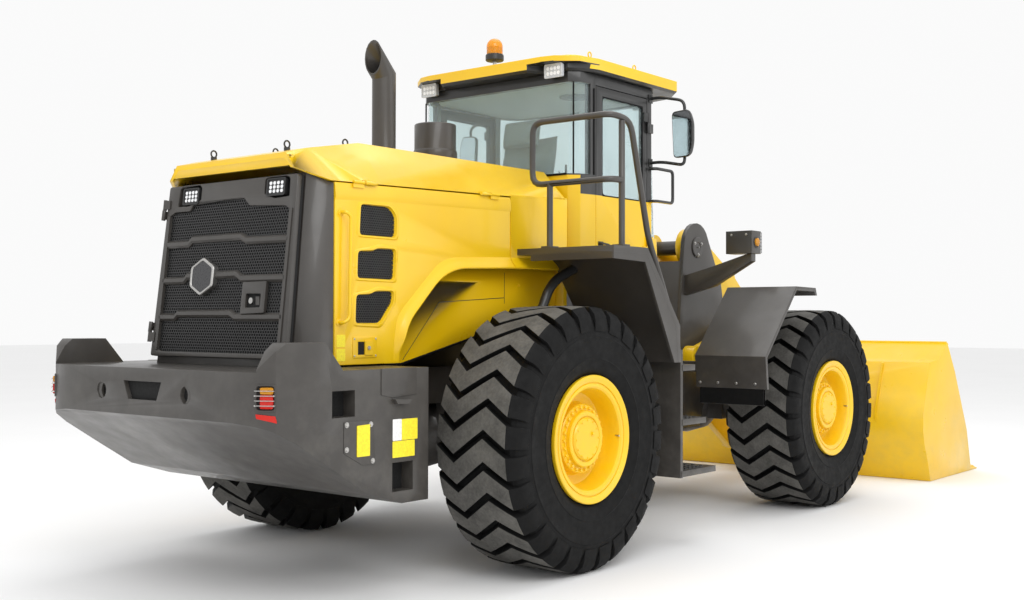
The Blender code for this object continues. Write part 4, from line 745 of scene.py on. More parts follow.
def side_door(side, hand):
    node = f"hood_side_door_{hand}"
    body = BODY_OF[node]
    place = on_side(side, DOOR_Y)
    door = Piece(f"{node}_pressed", body, YELLOW, DARK)
    flat_plate(door, [DOOR_EDGE, *[soft_outline(v, 0.02) for v in VENTS]], place, 0.028, 0.006)
    flare(door, FLARE_OUTER, FLARE_INNER, side)
    for vent in VENTS:
        lip = [soft_outline(grown(vent, grow), 0.026) for grow in (0.030, 0.018, 0.004, -0.004)]
        rings = [[place(u, v, w) for u, v in ring] for ring, w in zip(lip, (-0.002, 0.006, 0.006, -0.012))]
        door.loft(rings, 0, caps=False)
    crease = [(DOOR_EDGE[-1][0], 2.166), (-1.0, 2.182), (0.13, 2.205)]
    for (u0, v0), (u1, v1) in zip(crease, crease[1:]):
        door.loft([[place(u, v + dv, w) for dv, w in ((-0.03, -0.004), (0.0, 0.007), (0.06, 0.0005),
                                                      (0.06, -0.01))] for u, v in ((u0, v0), (u1, v1))])
    for share in (0.11, 0.89):
        u = -1.376 + 1.506 * share
        z = 2.249 + (2.300 - 2.249) * (u + 1.40) / 2.14
        door.rod((rear(u - 0.041), side * 0.712, z), (rear(u + 0.041), side * 0.712, z), 0.0095, 16)
        door.box((rear(u - 0.041), side * 0.7045, z - 0.03), (rear(u + 0.041), side * 0.712, z - 0.004))
    door.done(0.0, 35, 1, (node,))

    net = Piece(f"{node}_vent_mesh", body, PLASTIC, PAINTED_SHADE)
    for vent in VENTS:
        hex_mesh(net, grown(vent, 0.012), lambda u, v, w=0.0: place(u, v, w - 0.010), 0.017, 0.0030)
        # A painted-shade sheet sits behind each vent.
        rings = [[place(u, v, w) for u, v in grown(vent, 0.02)] for w in (-0.034, -0.030)]
        net.loft(rings, 1)
    net.done()

    latch = Piece(f"{node}_latch", body, YELLOW, STEEL, PAINTED_SHADE)
    edge = [(-1.243, 1.283), (-1.058, 1.283), (-1.058, 1.399), (-1.243, 1.399)]
    hole = [(-1.205, 1.300), (-1.155, 1.300), (-1.155, 1.372), (-1.205, 1.372)]
    flat_plate(latch, [soft_outline(edge, 0.008), hole], lambda u, v, w=0.0: place(u, v, w + 0.004), 0.005,
               0.001)
    latch.box(place(-1.155, 1.298, 0.003), place(-1.095, 1.376, 0.010))
    latch.rod(place(-1.128, 1.338, 0.008), place(-1.128, 1.338, 0.016), 0.011, 16, 1)
    # A painted-shade sheet fills the latch hole.
    latch.box(place(-1.205, 1.300, 0.0005), place(-1.155, 1.372, 0.0008), 2)
    for u, v in ((-1.232, 1.294), (-1.069, 1.294), (-1.232, 1.388), (-1.069, 1.388)):
        latch.bolt(place(u, v, 0.004), (0, side, 0), 0.004, 0.004, 1)
    latch.done()

    grab = Piece(f"{node}_grab_bar", body, YELLOW)
    path = [place(-1.334, 2.080, -0.002), place(-1.334, 2.080, 0.042), place(-1.300, 2.06, 0.046),
            place(-1.310, 1.500, 0.046), place(-1.345, 1.478, 0.042), place(-1.345, 1.478, -0.002)]
    grab.tube(rounded(path, 0.03, 5), 0.010, 12)
    for u, v in ((-1.334, 2.080), (-1.345, 1.478)):
        grab.lathe([(0.021, -0.001), (0.021, 0.003), (0.015, 0.006)], place(u, v), (0, side, 0), 18)
    grab.done()
    for k, (low, high) in enumerate(((1.345, 1.412), (1.268, 1.335))):
        label(f"{node}_label_{k + 1}", body, place, [(-1.362, low), (-1.298, low), (-1.298, high),
                                                     (-1.362, high)], LABEL_YELLOW)


for side, hand in SIDES:
    side_door(side, hand)


# ---------------------------------------------------------------- hood: fixed flare, seams, lifting eyes
def hood_details():
    trim = Piece("hood_trim", "rear", YELLOW, DARK, RUBBER)
    for side in (1, -1):
        outer = ((0.138, 1.893), (0.35, 1.897), (0.60, 1.897))
        inner = ((0.138, 1.823), (0.35, 1.826), (0.60, 1.828))
        flare(trim, outer, inner, side, 0, 0)
        place = on_side(side, 0.632)
        for (u0, v0), (u1, v1) in (((-0.78, 1.26), (-0.467, 1.601)), ((-0.467, 1.601), (0.154, 1.637)),
                                   ((0.154, 1.60), (0.154, 1.80))):
            across_line = Vector((v0 - v1, u1 - u0)).normalized() * 0.0022
            quad = [(u0 - across_line.x, v0 - across_line.y), (u1 - across_line.x, v1 - across_line.y),
                    (u1 + across_line.x, v1 + across_line.y), (u0 + across_line.x, v0 + across_line.y)]
            trim.loft([[place(u, v, w) for u, v in quad] for w in (-0.001, 0.0006)], 1)
        seal = [place(u, v, w) for u, v, w in ((-0.93, 1.240, -0.012), (-0.794, 1.238, -0.012),
                                               (-0.155, 1.385, -0.012), (0.70, 1.583, -0.012))]
        trim.tube(seal, 0.012, 8, 2)
        trim.bolt(place(0.30, 1.72, 0.0), (0, side, 0), 0.008, 0.006, 0)
    for x, y in ((-1.40, 0.33), (-1.40, -0.33), (-0.93, 0.33), (-0.93, -0.30)):
        base = Vector((rear(x), y, 2.447 if x < -1.2 else 2.512))
        trim.rod(base - Vector((0, 0, 0.01)), base + Vector((0, 0, 0.012)), 0.018, 14, 1)
        ring = [base + Vector((0.020 * math.cos(a), 0, 0.030 + 0.020 * math.sin(a)))
                for a in (math.radians(-70 + 32 * k) for k in range(11))]
        trim.tube(ring, 0.005, 8, 1)
    trim.done()


hood_details()


# ---------------------------------------------------------------- rear grille
GRILLE_FOOT = Vector((rear(-1.644), 0, 1.280))
GRILLE_HEAD = Vector((rear(-1.530), 0, 2.300))
GRILLE_UP = (GRILLE_HEAD - GRILLE_FOOT).normalized()
GRILLE_OUT = Vector((-GRILLE_UP.z, 0, GRILLE_UP.x))


def on_grille(y, z, out=0.0):
    """A place on the grille's leaning face at width y and height z, moved outwards."""
    return GRILLE_FOOT + GRILLE_UP * ((z - 1.280) / GRILLE_UP.z) + Vector((0, y, 0)) + GRILLE_OUT * out


def grille_half(z):
    return 0.603 - 0.029 * (z - 1.28) / 1.02


def grille():
    node = "rear_grille_door"
    body = BODY_OF[node]
    low, high = 1.281, 2.284
    edge = [(-grille_half(low), low), (grille_half(low), low), (grille_half(high), high),
            (-grille_half(high), high)]
    frame_piece = Piece(f"{node}_frame", body, GREY, PAINTED_SHADE)
    openings = [[(0.555, 1.325), (0.545, 2.105), (0.50, 2.128), (0.355, 2.128), (0.325, 2.172),
                 (-0.135, 2.176), (-0.190, 2.130), (-0.495, 2.112), (-0.540, 2.090), (-0.555, 1.325),
                 (-0.50, 1.308), (0.50, 1.308)], [(0.262, 2.190), (0.262, 2.262), (0.285, 2.278),
                                                  (0.440, 2.278), (0.470, 2.262), (0.480, 2.160),
                                                  (0.375, 2.160)],
                [(-0.305, 2.190), (-0.305, 2.268), (-0.325, 2.282 - 0.006), (-0.490, 2.276),
                 (-0.515, 2.262), (-0.520, 2.165), (-0.400, 2.160)],]
    flat_plate(frame_piece, [soft_outline(edge, 0.015), *[soft_outline(o, 0.008) for o in openings]],
               on_grille, 0.034, 0.005)
    # A painted-shade sheet behind the whole grille.
    frame_piece.loft([[on_grille(u, v, w) for u, v in edge] for w in (-0.047, -0.030)], 1)
    bars = ((1.936, ((0.545, 0.0), (0.336, 0.0), (0.306, 0.024), (-0.138, 0.024), (-0.190, 0.0),
                     (-0.545, -0.004))), (1.722, ((0.548, 0.0), (0.345, 0.0), (0.318, 0.025),
                                                  (-0.125, 0.027), (-0.178, 0.0), (-0.548, -0.002))),
            (1.508, ((0.552, 0.0), (0.400, 0.0), (0.375, 0.021), (-0.104, 0.021), (-0.150, 0.0),
                     (-0.552, 0.0))),)
    for z, steps in bars:
        sections = []
        for y, rise in steps:
            middle_z = z + rise
            sections.append([on_grille(y, middle_z + dz, w)
                             for dz, w in ((-0.026, -0.030), (-0.022, -0.004), (-0.010, 0.006),
                                           (0.010, 0.006), (0.022, -0.006), (0.026, -0.030))])
        frame_piece.loft(sections)
    for y, top in ((0.549, 2.105), (-0.549, 2.095)):
        frame_piece.loft([[on_grille(y + dy, z, w) for dy, w in ((-0.012, -0.03), (-0.012, 0.006),
                (0.012, 0.006), (0.012, -0.03))] for z in (1.315, top)])
    for share in (0.11, 0.89):
        z = 1.28 + 1.005 * share
        spot = on_grille(grille_half(z) + 0.014, z, 0.008)
        frame_piece.rod(spot - GRILLE_UP * 0.03, spot + GRILLE_UP * 0.03, 0.012, 14)
        frame_piece.loft([[on_grille(grille_half(z) + dy, z + dz, w)
                           for dy, w in ((-0.03, 0.0), (-0.03, 0.008), (0.012, 0.018), (0.012, 0.008))]
                          for dz in (-0.026, 0.026)])
    frame_piece.done(0.0, 34, 1, (node,))

    net = Piece(f"{node}_mesh", body, PLASTIC)
    window = [(0.56, 1.30), (0.55, 2.115), (0.36, 2.13), (0.33, 2.18), (-0.14, 2.185), (-0.19, 2.14),
              (-0.55, 2.11), (-0.56, 1.30)]
    hex_mesh(net, window, lambda u, v, w=0.0: on_grille(u, v, w - 0.012), 0.0205, 0.0036, 0.006)
    net.done()

    lamps = Piece(f"{node}_lamps", body, PLASTIC, LAMP_CHIP, LENS)
    for y, z, width in ((0.353, 2.214, 0.150), (-0.408, 2.220, 0.155)):
        work_lamp(lamps, on_grille(y, z, 0.006), GRILLE_OUT, GRILLE_UP, width, 0.098, 0.035, (4, 3))
    lamps.done()

    badge = Piece(f"{node}_badge", body, STEEL, BADGE_FACE)
    corners = [(0.16 + 0.122 * math.cos(a), 1.737 + 0.112 * math.sin(a))
               for a in (math.radians(90 + 60 * k) for k in range(6))]
    rings = []
    for grow, out in ((0.0, -0.02), (0.0, 0.014), (-0.006, 0.020), (-0.016, 0.020), (-0.020, 0.015)):
        rings.append([on_grille(u, v, out) for u, v in soft_outline(grown(corners, grow), 0.015)])
    badge.loft(rings)
    badge.loft([[on_grille(u, v, out) for u, v in soft_outline(grown(corners, -0.019), 0.012)]
                for out in (0.010, 0.0165)], 1)
    badge.done(0.0015, 30, 2)

    lock = Piece(f"{node}_lock", body, GREY, STEEL, PAINTED_SHADE)
    edge = [(-0.405, 1.530), (-0.205, 1.523), (-0.205, 1.700), (-0.405, 1.702)]
    hole = [(-0.369, 1.560), (-0.242, 1.558), (-0.242, 1.636), (-0.369, 1.634)]
    flat_plate(lock, [soft_outline(edge, 0.006), soft_outline(hole, 0.008)],
               lambda u, v, w=0.0: on_grille(u, v, w + 0.008), 0.022, 0.002)
    # A painted-shade sheet sits in the lock's hole.
    lock.loft([[on_grille(u, v, w) for u, v in hole] for w in (-0.012, -0.008)], 2)
    lock.rod(on_grille(-0.285, 1.597, -0.01), on_grille(-0.285, 1.597, 0.006), 0.017, 18, 1)
    lock.box(on_grille(-0.350, 1.575, -0.01), on_grille(-0.318, 1.62, 0.0), 0)
    lock.done()


grille()


# ---------------------------------------------------------------- counterweight
def rear_face(y, z, out=0.0):
    """A place on the counterweight's flat rear face."""
    return Vector((rear(-2.105) - out, y, z))


# name, (rear end, front end, bottom, top at the front, top at the rear), finish, thickness
CORNER_LABELS = (("warning", (-1.537, -1.446, 0.790, 0.953, 0.950), LABEL_YELLOW, 0.0085),
                 ("white", (-1.272, -1.205, 0.852, 0.966, 0.966), LABEL_WHITE, 0.0012),
                 ("upper", (-1.204, -1.083, 0.852, 0.964, 0.964), LABEL_YELLOW, 0.0012),
                 ("lower", (-1.273, -1.105, 0.762, 0.849, 0.849), LABEL_YELLOW, 0.0012))


def counterweight():
    side_y = 1.04
    panel = Piece("counterweight_panel", "rear", GREY, PAINTED_SHADE)
    circles = [[(y + 0.046 * math.cos(a), 1.105 + 0.046 * math.sin(a))
                for a in (2 * math.pi * k / 28 for k in range(28))] for y in (0.345, -0.345)]
    slot_hole = [(-0.175, 1.170), (0.175, 1.170), (0.130, 1.068), (-0.130, 1.068)]
    edge = [(-0.419, 1.021), (0.419, 1.021), (0.419, 1.189), (-0.419, 1.189)]
    flat_plate(panel, [edge, *circles, soft_outline(slot_hole, 0.012)],
               lambda u, v, w=0.0: rear_face(u, v, w - 0.007), 0.018, 0.002)
    # A painted-shade sheet behind the panel's holes.
    panel.loft([[rear_face(u, v, w) for u, v in edge] for w in (-0.0299, -0.027)], 1)
    for points in (((0.60, 1.196), (0.585, 1.035), (0.0, 1.030), (-0.585, 1.035), (-0.60, 1.196)),
                   ((0.60, 1.199), (-0.60, 1.199))):
        panel.tube([rear_face(u, v, -0.0045) for u, v in points], 0.0045, 8)
    panel.done()
    for side, hand in SIDES:
        place = on_side(side, side_y)
        fittings = Piece(f"counterweight_fittings_{hand}", "rear", GREY, STEEL, PAINTED_SHADE)
        lid = [(-1.360, 1.238), (-1.360, 1.099), (-1.278, 1.082), (-1.093, 1.093), (-1.093, 1.238)]
        flat_plate(fittings, [soft_outline(lid, 0.005)], lambda u, v, w=0.0: place(u, v, w + 0.005), 0.006,
                   0.0015)
        fittings.side_prism([(rear(u), v) for u, v in ((-1.282, 1.074), (-1.156, 1.070), (-1.175, 1.046),
                                                       (-1.262, 1.048))], side * side_y,
                            side * (side_y + 0.030))
        cover = [(-1.625, 0.976), (-1.625, 0.814), (-1.496, 0.745), (-1.404, 0.742), (-1.418, 0.970)]
        flat_plate(fittings, [soft_outline(cover, 0.008)], lambda u, v, w=0.0: place(u, v, w + 0.004),
                   0.005, 0.0015)
        for u, v in ((-1.606, 0.958), (-1.436, 0.952), (-1.606, 0.832), (-1.422, 0.762)):
            fittings.bolt(place(u, v, 0.004), (0, side, 0), 0.010, 0.008, 1)
        # Painted shade: dark sheets set deep inside two openings in the side face.
        for u0, u1, v0, v1 in ((-1.702, -1.546, 0.998, 1.133), (-1.273, -1.116, 0.582, 0.736)):
            fittings.loft([[place(u, v, w) for u, v in ((u0, v0), (u1, v0), (u1, v1), (u0, v1))]
                           for w in (-0.089, -0.086)], 2)
        fittings.done()
        for name, rect, finish, thickness in CORNER_LABELS:
            u0, u1, v0, v1, tail_v = rect
            outline = [(u0, v0), (u1, v0), (u1, v1), (u0, tail_v)]
            label(f"counterweight_{name}_label_{hand}", "rear", place, outline, finish, thickness)
        tail_lamp(side, hand)


def tail_lamp(side, hand):
    """A two-colour lamp behind wire bars in the counterweight's chamfered corner, with a reflector below."""
    along = Vector((0.055, side * 0.085, 0)).normalized()
    out = Vector((-0.085, side * 0.055, 0)).normalized()
    centre = Vector((rear(-2.0475), side * 0.9425, 1.112))

    def place(u, v, w=0.0):
        return centre + along * u + Vector((0, 0, v)) + out * w

    lamp = Piece(f"tail_lamp_{hand}", "rear", GREY, PAINTED_SHADE, AMBER, RED, STEEL)
    edge = soft_outline([(-0.052, -0.066), (0.052, -0.066), (0.052, 0.066), (-0.052, 0.066)], 0.014)
    hole = soft_outline([(-0.044, -0.058), (0.044, -0.058), (0.044, 0.058), (-0.044, 0.058)], 0.012)
    flat_plate(lamp, [edge, hole], lambda u, v, w=0.0: place(u, v, w + 0.006), 0.010, 0.002)
    # A painted-shade sheet behind the lamp's opening.
    lamp.loft([[place(u, v, w) for u, v in hole] for w in (-0.002, 0.0005)], 1)
    for low, high, slot in ((0.018, 0.052, 2), (-0.052, 0.017, 3)):
        ring = soft_outline([(-0.026, low), (0.040, low), (0.040, high), (-0.026, high)], 0.010)
        lamp.loft([[place(u, v, 0.0) for u, v in ring], [place(u, v, 0.010) for u, v in ring],
                   [place(u * 0.9 + 0.0007, (v - (low + high) / 2) * 0.88 + (low + high) / 2, 0.016)
                    for u, v in ring]], slot)
    for v in (-0.036, -0.012, 0.012, 0.036):
        lamp.rod(place(-0.050, v, 0.021), place(0.050, v, 0.021), 0.0022, 8, 4)
    for u in (-0.048, 0.048):
        for v in (-0.036, 0.012):
            lamp.rod(place(u, v, 0.006), place(u, v, 0.023), 0.004, 8, 4)
    lamp.done()
    reflector = Piece(f"reflector_{hand}", "rear", RED)
    outline = soft_outline([(-0.050, 0.022), (0.050, 0.012), (0.058, -0.022), (-0.046, 0.0)], 0.003)
    reflector.loft([[place(u, v - 0.100, w) for u, v in outline] for w in (-0.002, 0.003)])
    reflector.done()


counterweight()


# ---------------------------------------------------------------- cab
def cab_details():
    trim = Piece("cab_trim_strips", "rear", RUBBER, DARK, YELLOW)
    for side in (1, -1):
        trim.tube([(rear(0.826), side * 0.690, 2.50), (rear(0.826), side * 0.690, 3.13)], 0.006, 8)
        place = on_side(side, 0.75)
        pane = [(1.086, 2.36), (1.605, 2.36), (1.605, 3.06), (1.086, 3.06)]
        ring_outer, ring_inner = soft_outline(grown(pane, 0.012), 0.03), soft_outline(grown(pane, -0.012),
                0.03)
        flat_plate(trim, [ring_outer, ring_inner], lambda u, v, w=0.0: place(u, v, w - 0.001), 0.006, 0.0015)
        trim.tube([place(0.985, v, 0.001) for v in (2.50, 3.10)], 0.005, 8)
        handle_z = 2.02
        trim.box(place(1.035, handle_z - 0.018, -0.002), place(1.095, handle_z + 0.022, 0.004), 1)
        lever = [place(1.045, handle_z + 0.008, 0.002), place(1.045, handle_z + 0.008, 0.028),
                 place(1.125, handle_z + 0.002, 0.030), place(1.150, handle_z - 0.010, 0.024)]
        trim.tube(rounded(lever, 0.012), 0.007, 8, 1)
    trim.tube([(rear(0.795), y, 2.498) for y in (-0.65, 0.65)], 0.007, 8)
    trim.done()

    inner = Piece("cab_headliner", "rear", HEADLINER, INTERIOR)
    inner.plan_prism([(rear(x), y) for x, y in ((0.86, -0.60), (1.0, -0.69), (1.70, -0.69), (1.86, -0.60),
                                                (1.90, 0.0), (1.86, 0.60), (1.70, 0.69), (1.0, 0.69),
                                                (0.86, 0.60))], 3.135, 3.185)
    inner.lathe([(0.11, 0), (0.11, 0.012), (0.09, 0.018), (0.001, 0.018)], (rear(1.30), -0.35, 3.136),
                (0, 0, -1), 28, 1)
    inner.box((rear(0.87), -0.60, 1.87), (rear(1.02), 0.60, 2.46), 1)
    for side in (1, -1):
        inner.box((rear(1.10), side * 0.30, 1.88), (rear(1.62), side * 0.44, 2.36), 1)
        inner.rod((rear(1.52), side * 0.37, 2.36), (rear(1.54), side * 0.37, 2.46), 0.012, 10, 1)
        inner.ball((rear(1.54), side * 0.37, 2.475), 0.022, 1)
    inner.done(0.006)

    lamps = Piece("roof_lamps", "rear", LAMP_BODY, LAMP_CHIP, DARK)
    for side in (1, -1):
        for x, facing in ((0.735, -1), (2.19, 1)):
            y = side * (0.58 if facing < 0 else 0.36)
            work_lamp(lamps, (rear(x), y, 3.205), (facing, 0, -0.06), (0, 0, 1), 0.150, 0.098, 0.04, (4, 2))
            lamps.box((rear(x) - facing * 0.052, y - 0.05, 3.19),
                      (rear(x) - facing * 0.036, y + 0.05, 3.24), 2)
    lamps.done(0.002)

    eyes = Piece("roof_lifting_eyes", "rear", RIM_YELLOW)
    for side in (1, -1):
        for x in (1.20, 1.78):
            foot = Vector((rear(x), side * 0.56, 3.364))
            eyes.rod(foot, foot + Vector((0, 0, 0.014)), 0.015, 12)
            ring = [foot + Vector((0.020 * math.cos(a), 0, 0.032 + 0.020 * math.sin(a)))
                    for a in (math.radians(-80 + 34 * k) for k in range(11))]
            eyes.tube(ring, 0.005, 8)
    eyes.done()

    wiper = Piece("wipers", "rear", PLASTIC, STEEL)
    for start, end in (((2.018, 0.05, 2.10), (1.985, 0.30, 2.70)),):
        a = Vector((rear(start[0]), start[1], start[2]))
        b = Vector((rear(end[0]), end[1], end[2]))
        wiper.rod(a, a + (b - a) * 0.04, 0.02, 12)
        wiper.tube([a, b], 0.006, 8)
        mid = a.lerp(b, 0.75)
        along = (b - a).normalized()
        wiper.box(mid - along * 0.01 - Vector((0.004, 0.006, 0.24)), mid + Vector((0.006, 0.006, 0.20)))
    wiper.done()


def roof():
    """The roof shell: a faceted rim whose lower lip is cut back around the two rear lamps."""
    lip = [(0.670, 0.400), (0.780, 0.470), (0.780, 0.675), (0.900, 0.775), (0.980, 0.800), (2.000, 0.800),
           (2.160, 0.660), (2.200, 0.450)]
    eave = [(0.670, 0.400), (0.670, 0.520), (0.690, 0.620), (0.800, 0.755), (0.980, 0.800), (2.000, 0.800),
            (2.160, 0.660), (2.200, 0.450)]
    crown = [(0.949, 0.400), (0.949, 0.500), (0.960, 0.545), (1.000, 0.585), (1.050, 0.603), (1.950, 0.603),
             (2.020, 0.560), (2.050, 0.450)]
    piece = Piece("roof_shell", "rear", YELLOW, DARK)
    rings = []
    for z, half, inwards in ((3.203, lip, 0.02), (3.222, lip, 0.0), (3.252, lip, 0.0), (3.259, eave, 0.0),
                             (3.298, eave, 0.0), (3.340, crown, -0.02), (3.362, crown, 0.012)):
        plan = [(x, y) for x, y in half] + [(x, -y) for x, y in reversed(half)]
        rings.append([(rear(1.45 + (x - 1.45) * (1 - inwards)), y * (1 - inwards), z) for x, y in plan])
    piece.loft(rings)
    shell = piece.done(0.008, replaces=("cab_roof",))
    for polygon in shell.data.polygons:
        centre = polygon.center
        in_notch = centre.z < 3.257 and centre.x < rear(0.93) and abs(centre.y) > 0.41
        polygon.material_index = int(polygon.normal.z < -0.3 or in_notch)


def beacon():
    piece = Piece("beacon_lamp", "rear", AMBER, PLASTIC, STEEL)
    low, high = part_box("beacon")
    centre = Vector(((low[0] + high[0]) / 2, (low[1] + high[1]) / 2, low[2]))
    up = (0, 0, 1)
    piece.lathe([(0.050, 0), (0.050, 0.006), (0.020, 0.009), (0.014, 0.012), (0.014, 0.048)], centre, up,
                28, 2)
    piece.lathe([(0.030, 0.044), (0.062, 0.048), (0.068, 0.054), (0.068, 0.088), (0.064, 0.096),
                 (0.03, 0.096)], centre, up, 36, 1)
    dome = [(0.059, 0.095), (0.060, 0.150)]
    dome += [(0.060 * math.cos(math.radians(t)), 0.156 + 0.060 * math.sin(math.radians(t)))
             for t in range(0, 90, 10)]
    piece.lathe(dome + [(0.002, 0.216)], centre, up, 40, 0)
    for k in range(5):
        piece.lathe([(0.0595, 0.104 + 0.010 * k), (0.0606, 0.107 + 0.010 * k), (0.0595, 0.110 + 0.010 * k)],
                    centre, up, 40, 0)
    piece.done(replaces=("beacon",))


def mirrors():
    for side, hand in SIDES:
        x = rear(1.705)
        middle_y, half = side * 1.028, 0.088
        z0, z1 = 2.672, 3.020
        piece = Piece(f"mirror_{hand}_head", "rear", DARK, MIRROR, PLASTIC)
        outline = [(middle_y - side * half, z1 - 0.01), (middle_y - side * half * 0.82, z0),
                   (middle_y + side * half * 0.70, z0 + 0.004), (middle_y + side * half, z0 + 0.09),
                   (middle_y + side * half, z1 - 0.09), (middle_y + side * half * 0.62, z1)]
        rings = []
        for grow, dx in ((-0.030, 0.034), (-0.010, 0.026), (0.0, 0.006), (0.0, -0.010), (-0.006, -0.015),
                         (-0.010, -0.012)):
            rings.append([(x + dx, y, z) for y, z in soft_outline(grown(outline, grow), 0.035, 6)])
        piece.loft(rings)
        piece.loft([[(x + dx, y, z) for y, z in soft_outline(grown(outline, -0.010), 0.030, 6)]
                    for dx in (-0.010, -0.013)], 1)
        for root_z, z, end_z in ((3.13, 3.09, 2.98), (2.655, 2.62, 2.70)):
            path = [(x, side * 0.7505, root_z), (x, side * 0.85, root_z), (x + 0.02, middle_y, z),
                    (x + 0.03, middle_y, end_z)]
            piece.tube(rounded(path, 0.05, 5), 0.0115, 12, 0)
            piece.box((x - 0.022, side * 0.750, root_z - 0.03), (x + 0.022, side * 0.757, root_z + 0.03), 0)
            piece.bolt((x, side * 0.757, root_z + 0.02), (0, side, 0), 0.006, 0.005, 2)
        piece.done(0.0, 34, 1, (f"mirror_{hand}",))


cab_details()
roof()
beacon()
mirrors()


# ---------------------------------------------------------------- operator's seat
def cushion(name, centre, size, tilt, crown, seams=()):
    """A crowned upholstered pad: sides pulled in between its corners, with sewn channels across it."""
    lengthwise, widthwise, thick = size
    steps = 22
    turn = Matrix.Rotation(math.radians(tilt), 3, "Y")
    vertices, faces = [], []
    for top in (1, -1):
        for i in range(steps + 1):
            for j in range(steps + 1):
                a, b = i / steps * 2 - 1, j / steps * 2 - 1
                pull = 1 - 0.03 * max(abs(a), abs(b)) ** 4 * (1 - min(abs(a), abs(b)) ** 2)
                swell = max(0.0, (1 - abs(a) ** 4) * (1 - abs(b) ** 4)) ** 0.42
                z = top * thick / 2 * swell
                if top > 0:
                    z *= 1 + crown * (1 - a * a) * (1 - b * b)
                    for seam in seams:
                        z -= 0.010 * math.exp(-((a - seam) / 0.035) ** 2) * min(1, swell * 1.3)
                local = Vector((a * lengthwise / 2 * pull, b * widthwise / 2 * pull, z))
                vertices.append(Vector(centre) + turn @ local)
    count = (steps + 1) ** 2
    for layer in (0, 1):
        for i in range(steps):
            for j in range(steps):
                k = layer * count + i * (steps + 1) + j
                faces.append((k, k + 1, k + steps + 2, k + steps + 1))
    piece = Piece(name, "rear", SEAT_CLOTH)
    piece.add(vertices, faces)
    mesh = bpy.data.meshes.new(name)
    mesh.from_pydata(piece.vertices, [], piece.faces)
    work = bmesh.new()
    work.from_mesh(mesh)
    bmesh.ops.remove_doubles(work, verts=work.verts, dist=0.0004)
    work.to_mesh(mesh)
    work.free()
    mesh.materials.append(SEAT_CLOTH)
    return finished(name, mesh, "rear", 0, 60, 1, ())


def seat():
    base = cushion("seat_cushion", (rear(1.41), 0, 2.275), (0.50, 0.50, 0.15), -3, 0.10, (-0.45, 0.0, 0.45))
    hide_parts("operator_seat")
    back = cushion("seat_backrest", (rear(1.185), 0, 2.555), (0.60, 0.48, 0.14), -78, 0.12,
                   (-0.5, -0.15, 0.2, 0.55))
    head = cushion("seat_headrest", (rear(1.125), 0, 2.865), (0.20, 0.32, 0.11), -80, 0.10)
    frame_piece = Piece("seat_suspension", "rear", PLASTIC, HOSE)
    frame_piece.box((rear(1.14), -0.20, 1.862), (rear(1.44), 0.20, 1.92))
    for k in range(7):
        z = 1.92 + 0.038 * k
        frame_piece.loft([[(rear(x), y, z + dz) for x, y in ((1.16 - g, -0.17 - g), (1.42 + g, -0.17 - g),
                                                             (1.42 + g, 0.17 + g), (1.16 - g, 0.17 + g))]
                          for dz, g in ((0, 0), (0.019, 0.014), (0.038, 0))], 1)
    frame_piece.box((rear(1.14), -0.22, 2.186), (rear(1.60), 0.22, 2.215))
    for side in (1, -1):
        frame_piece.tube(rounded([(rear(1.17), side * 0.26, 2.30), (rear(1.16), side * 0.27, 2.44),
                                  (rear(1.42), side * 0.27, 2.44)], 0.04), 0.022, 10, 1)
    frame_piece.tube([(rear(1.105), -0.06, 2.78), (rear(1.10), -0.06, 2.86)], 0.007, 8)
    frame_piece.tube([(rear(1.105), 0.06, 2.78), (rear(1.10), 0.06, 2.86)], 0.007, 8)
    frame_piece.done(0.003)


seat()


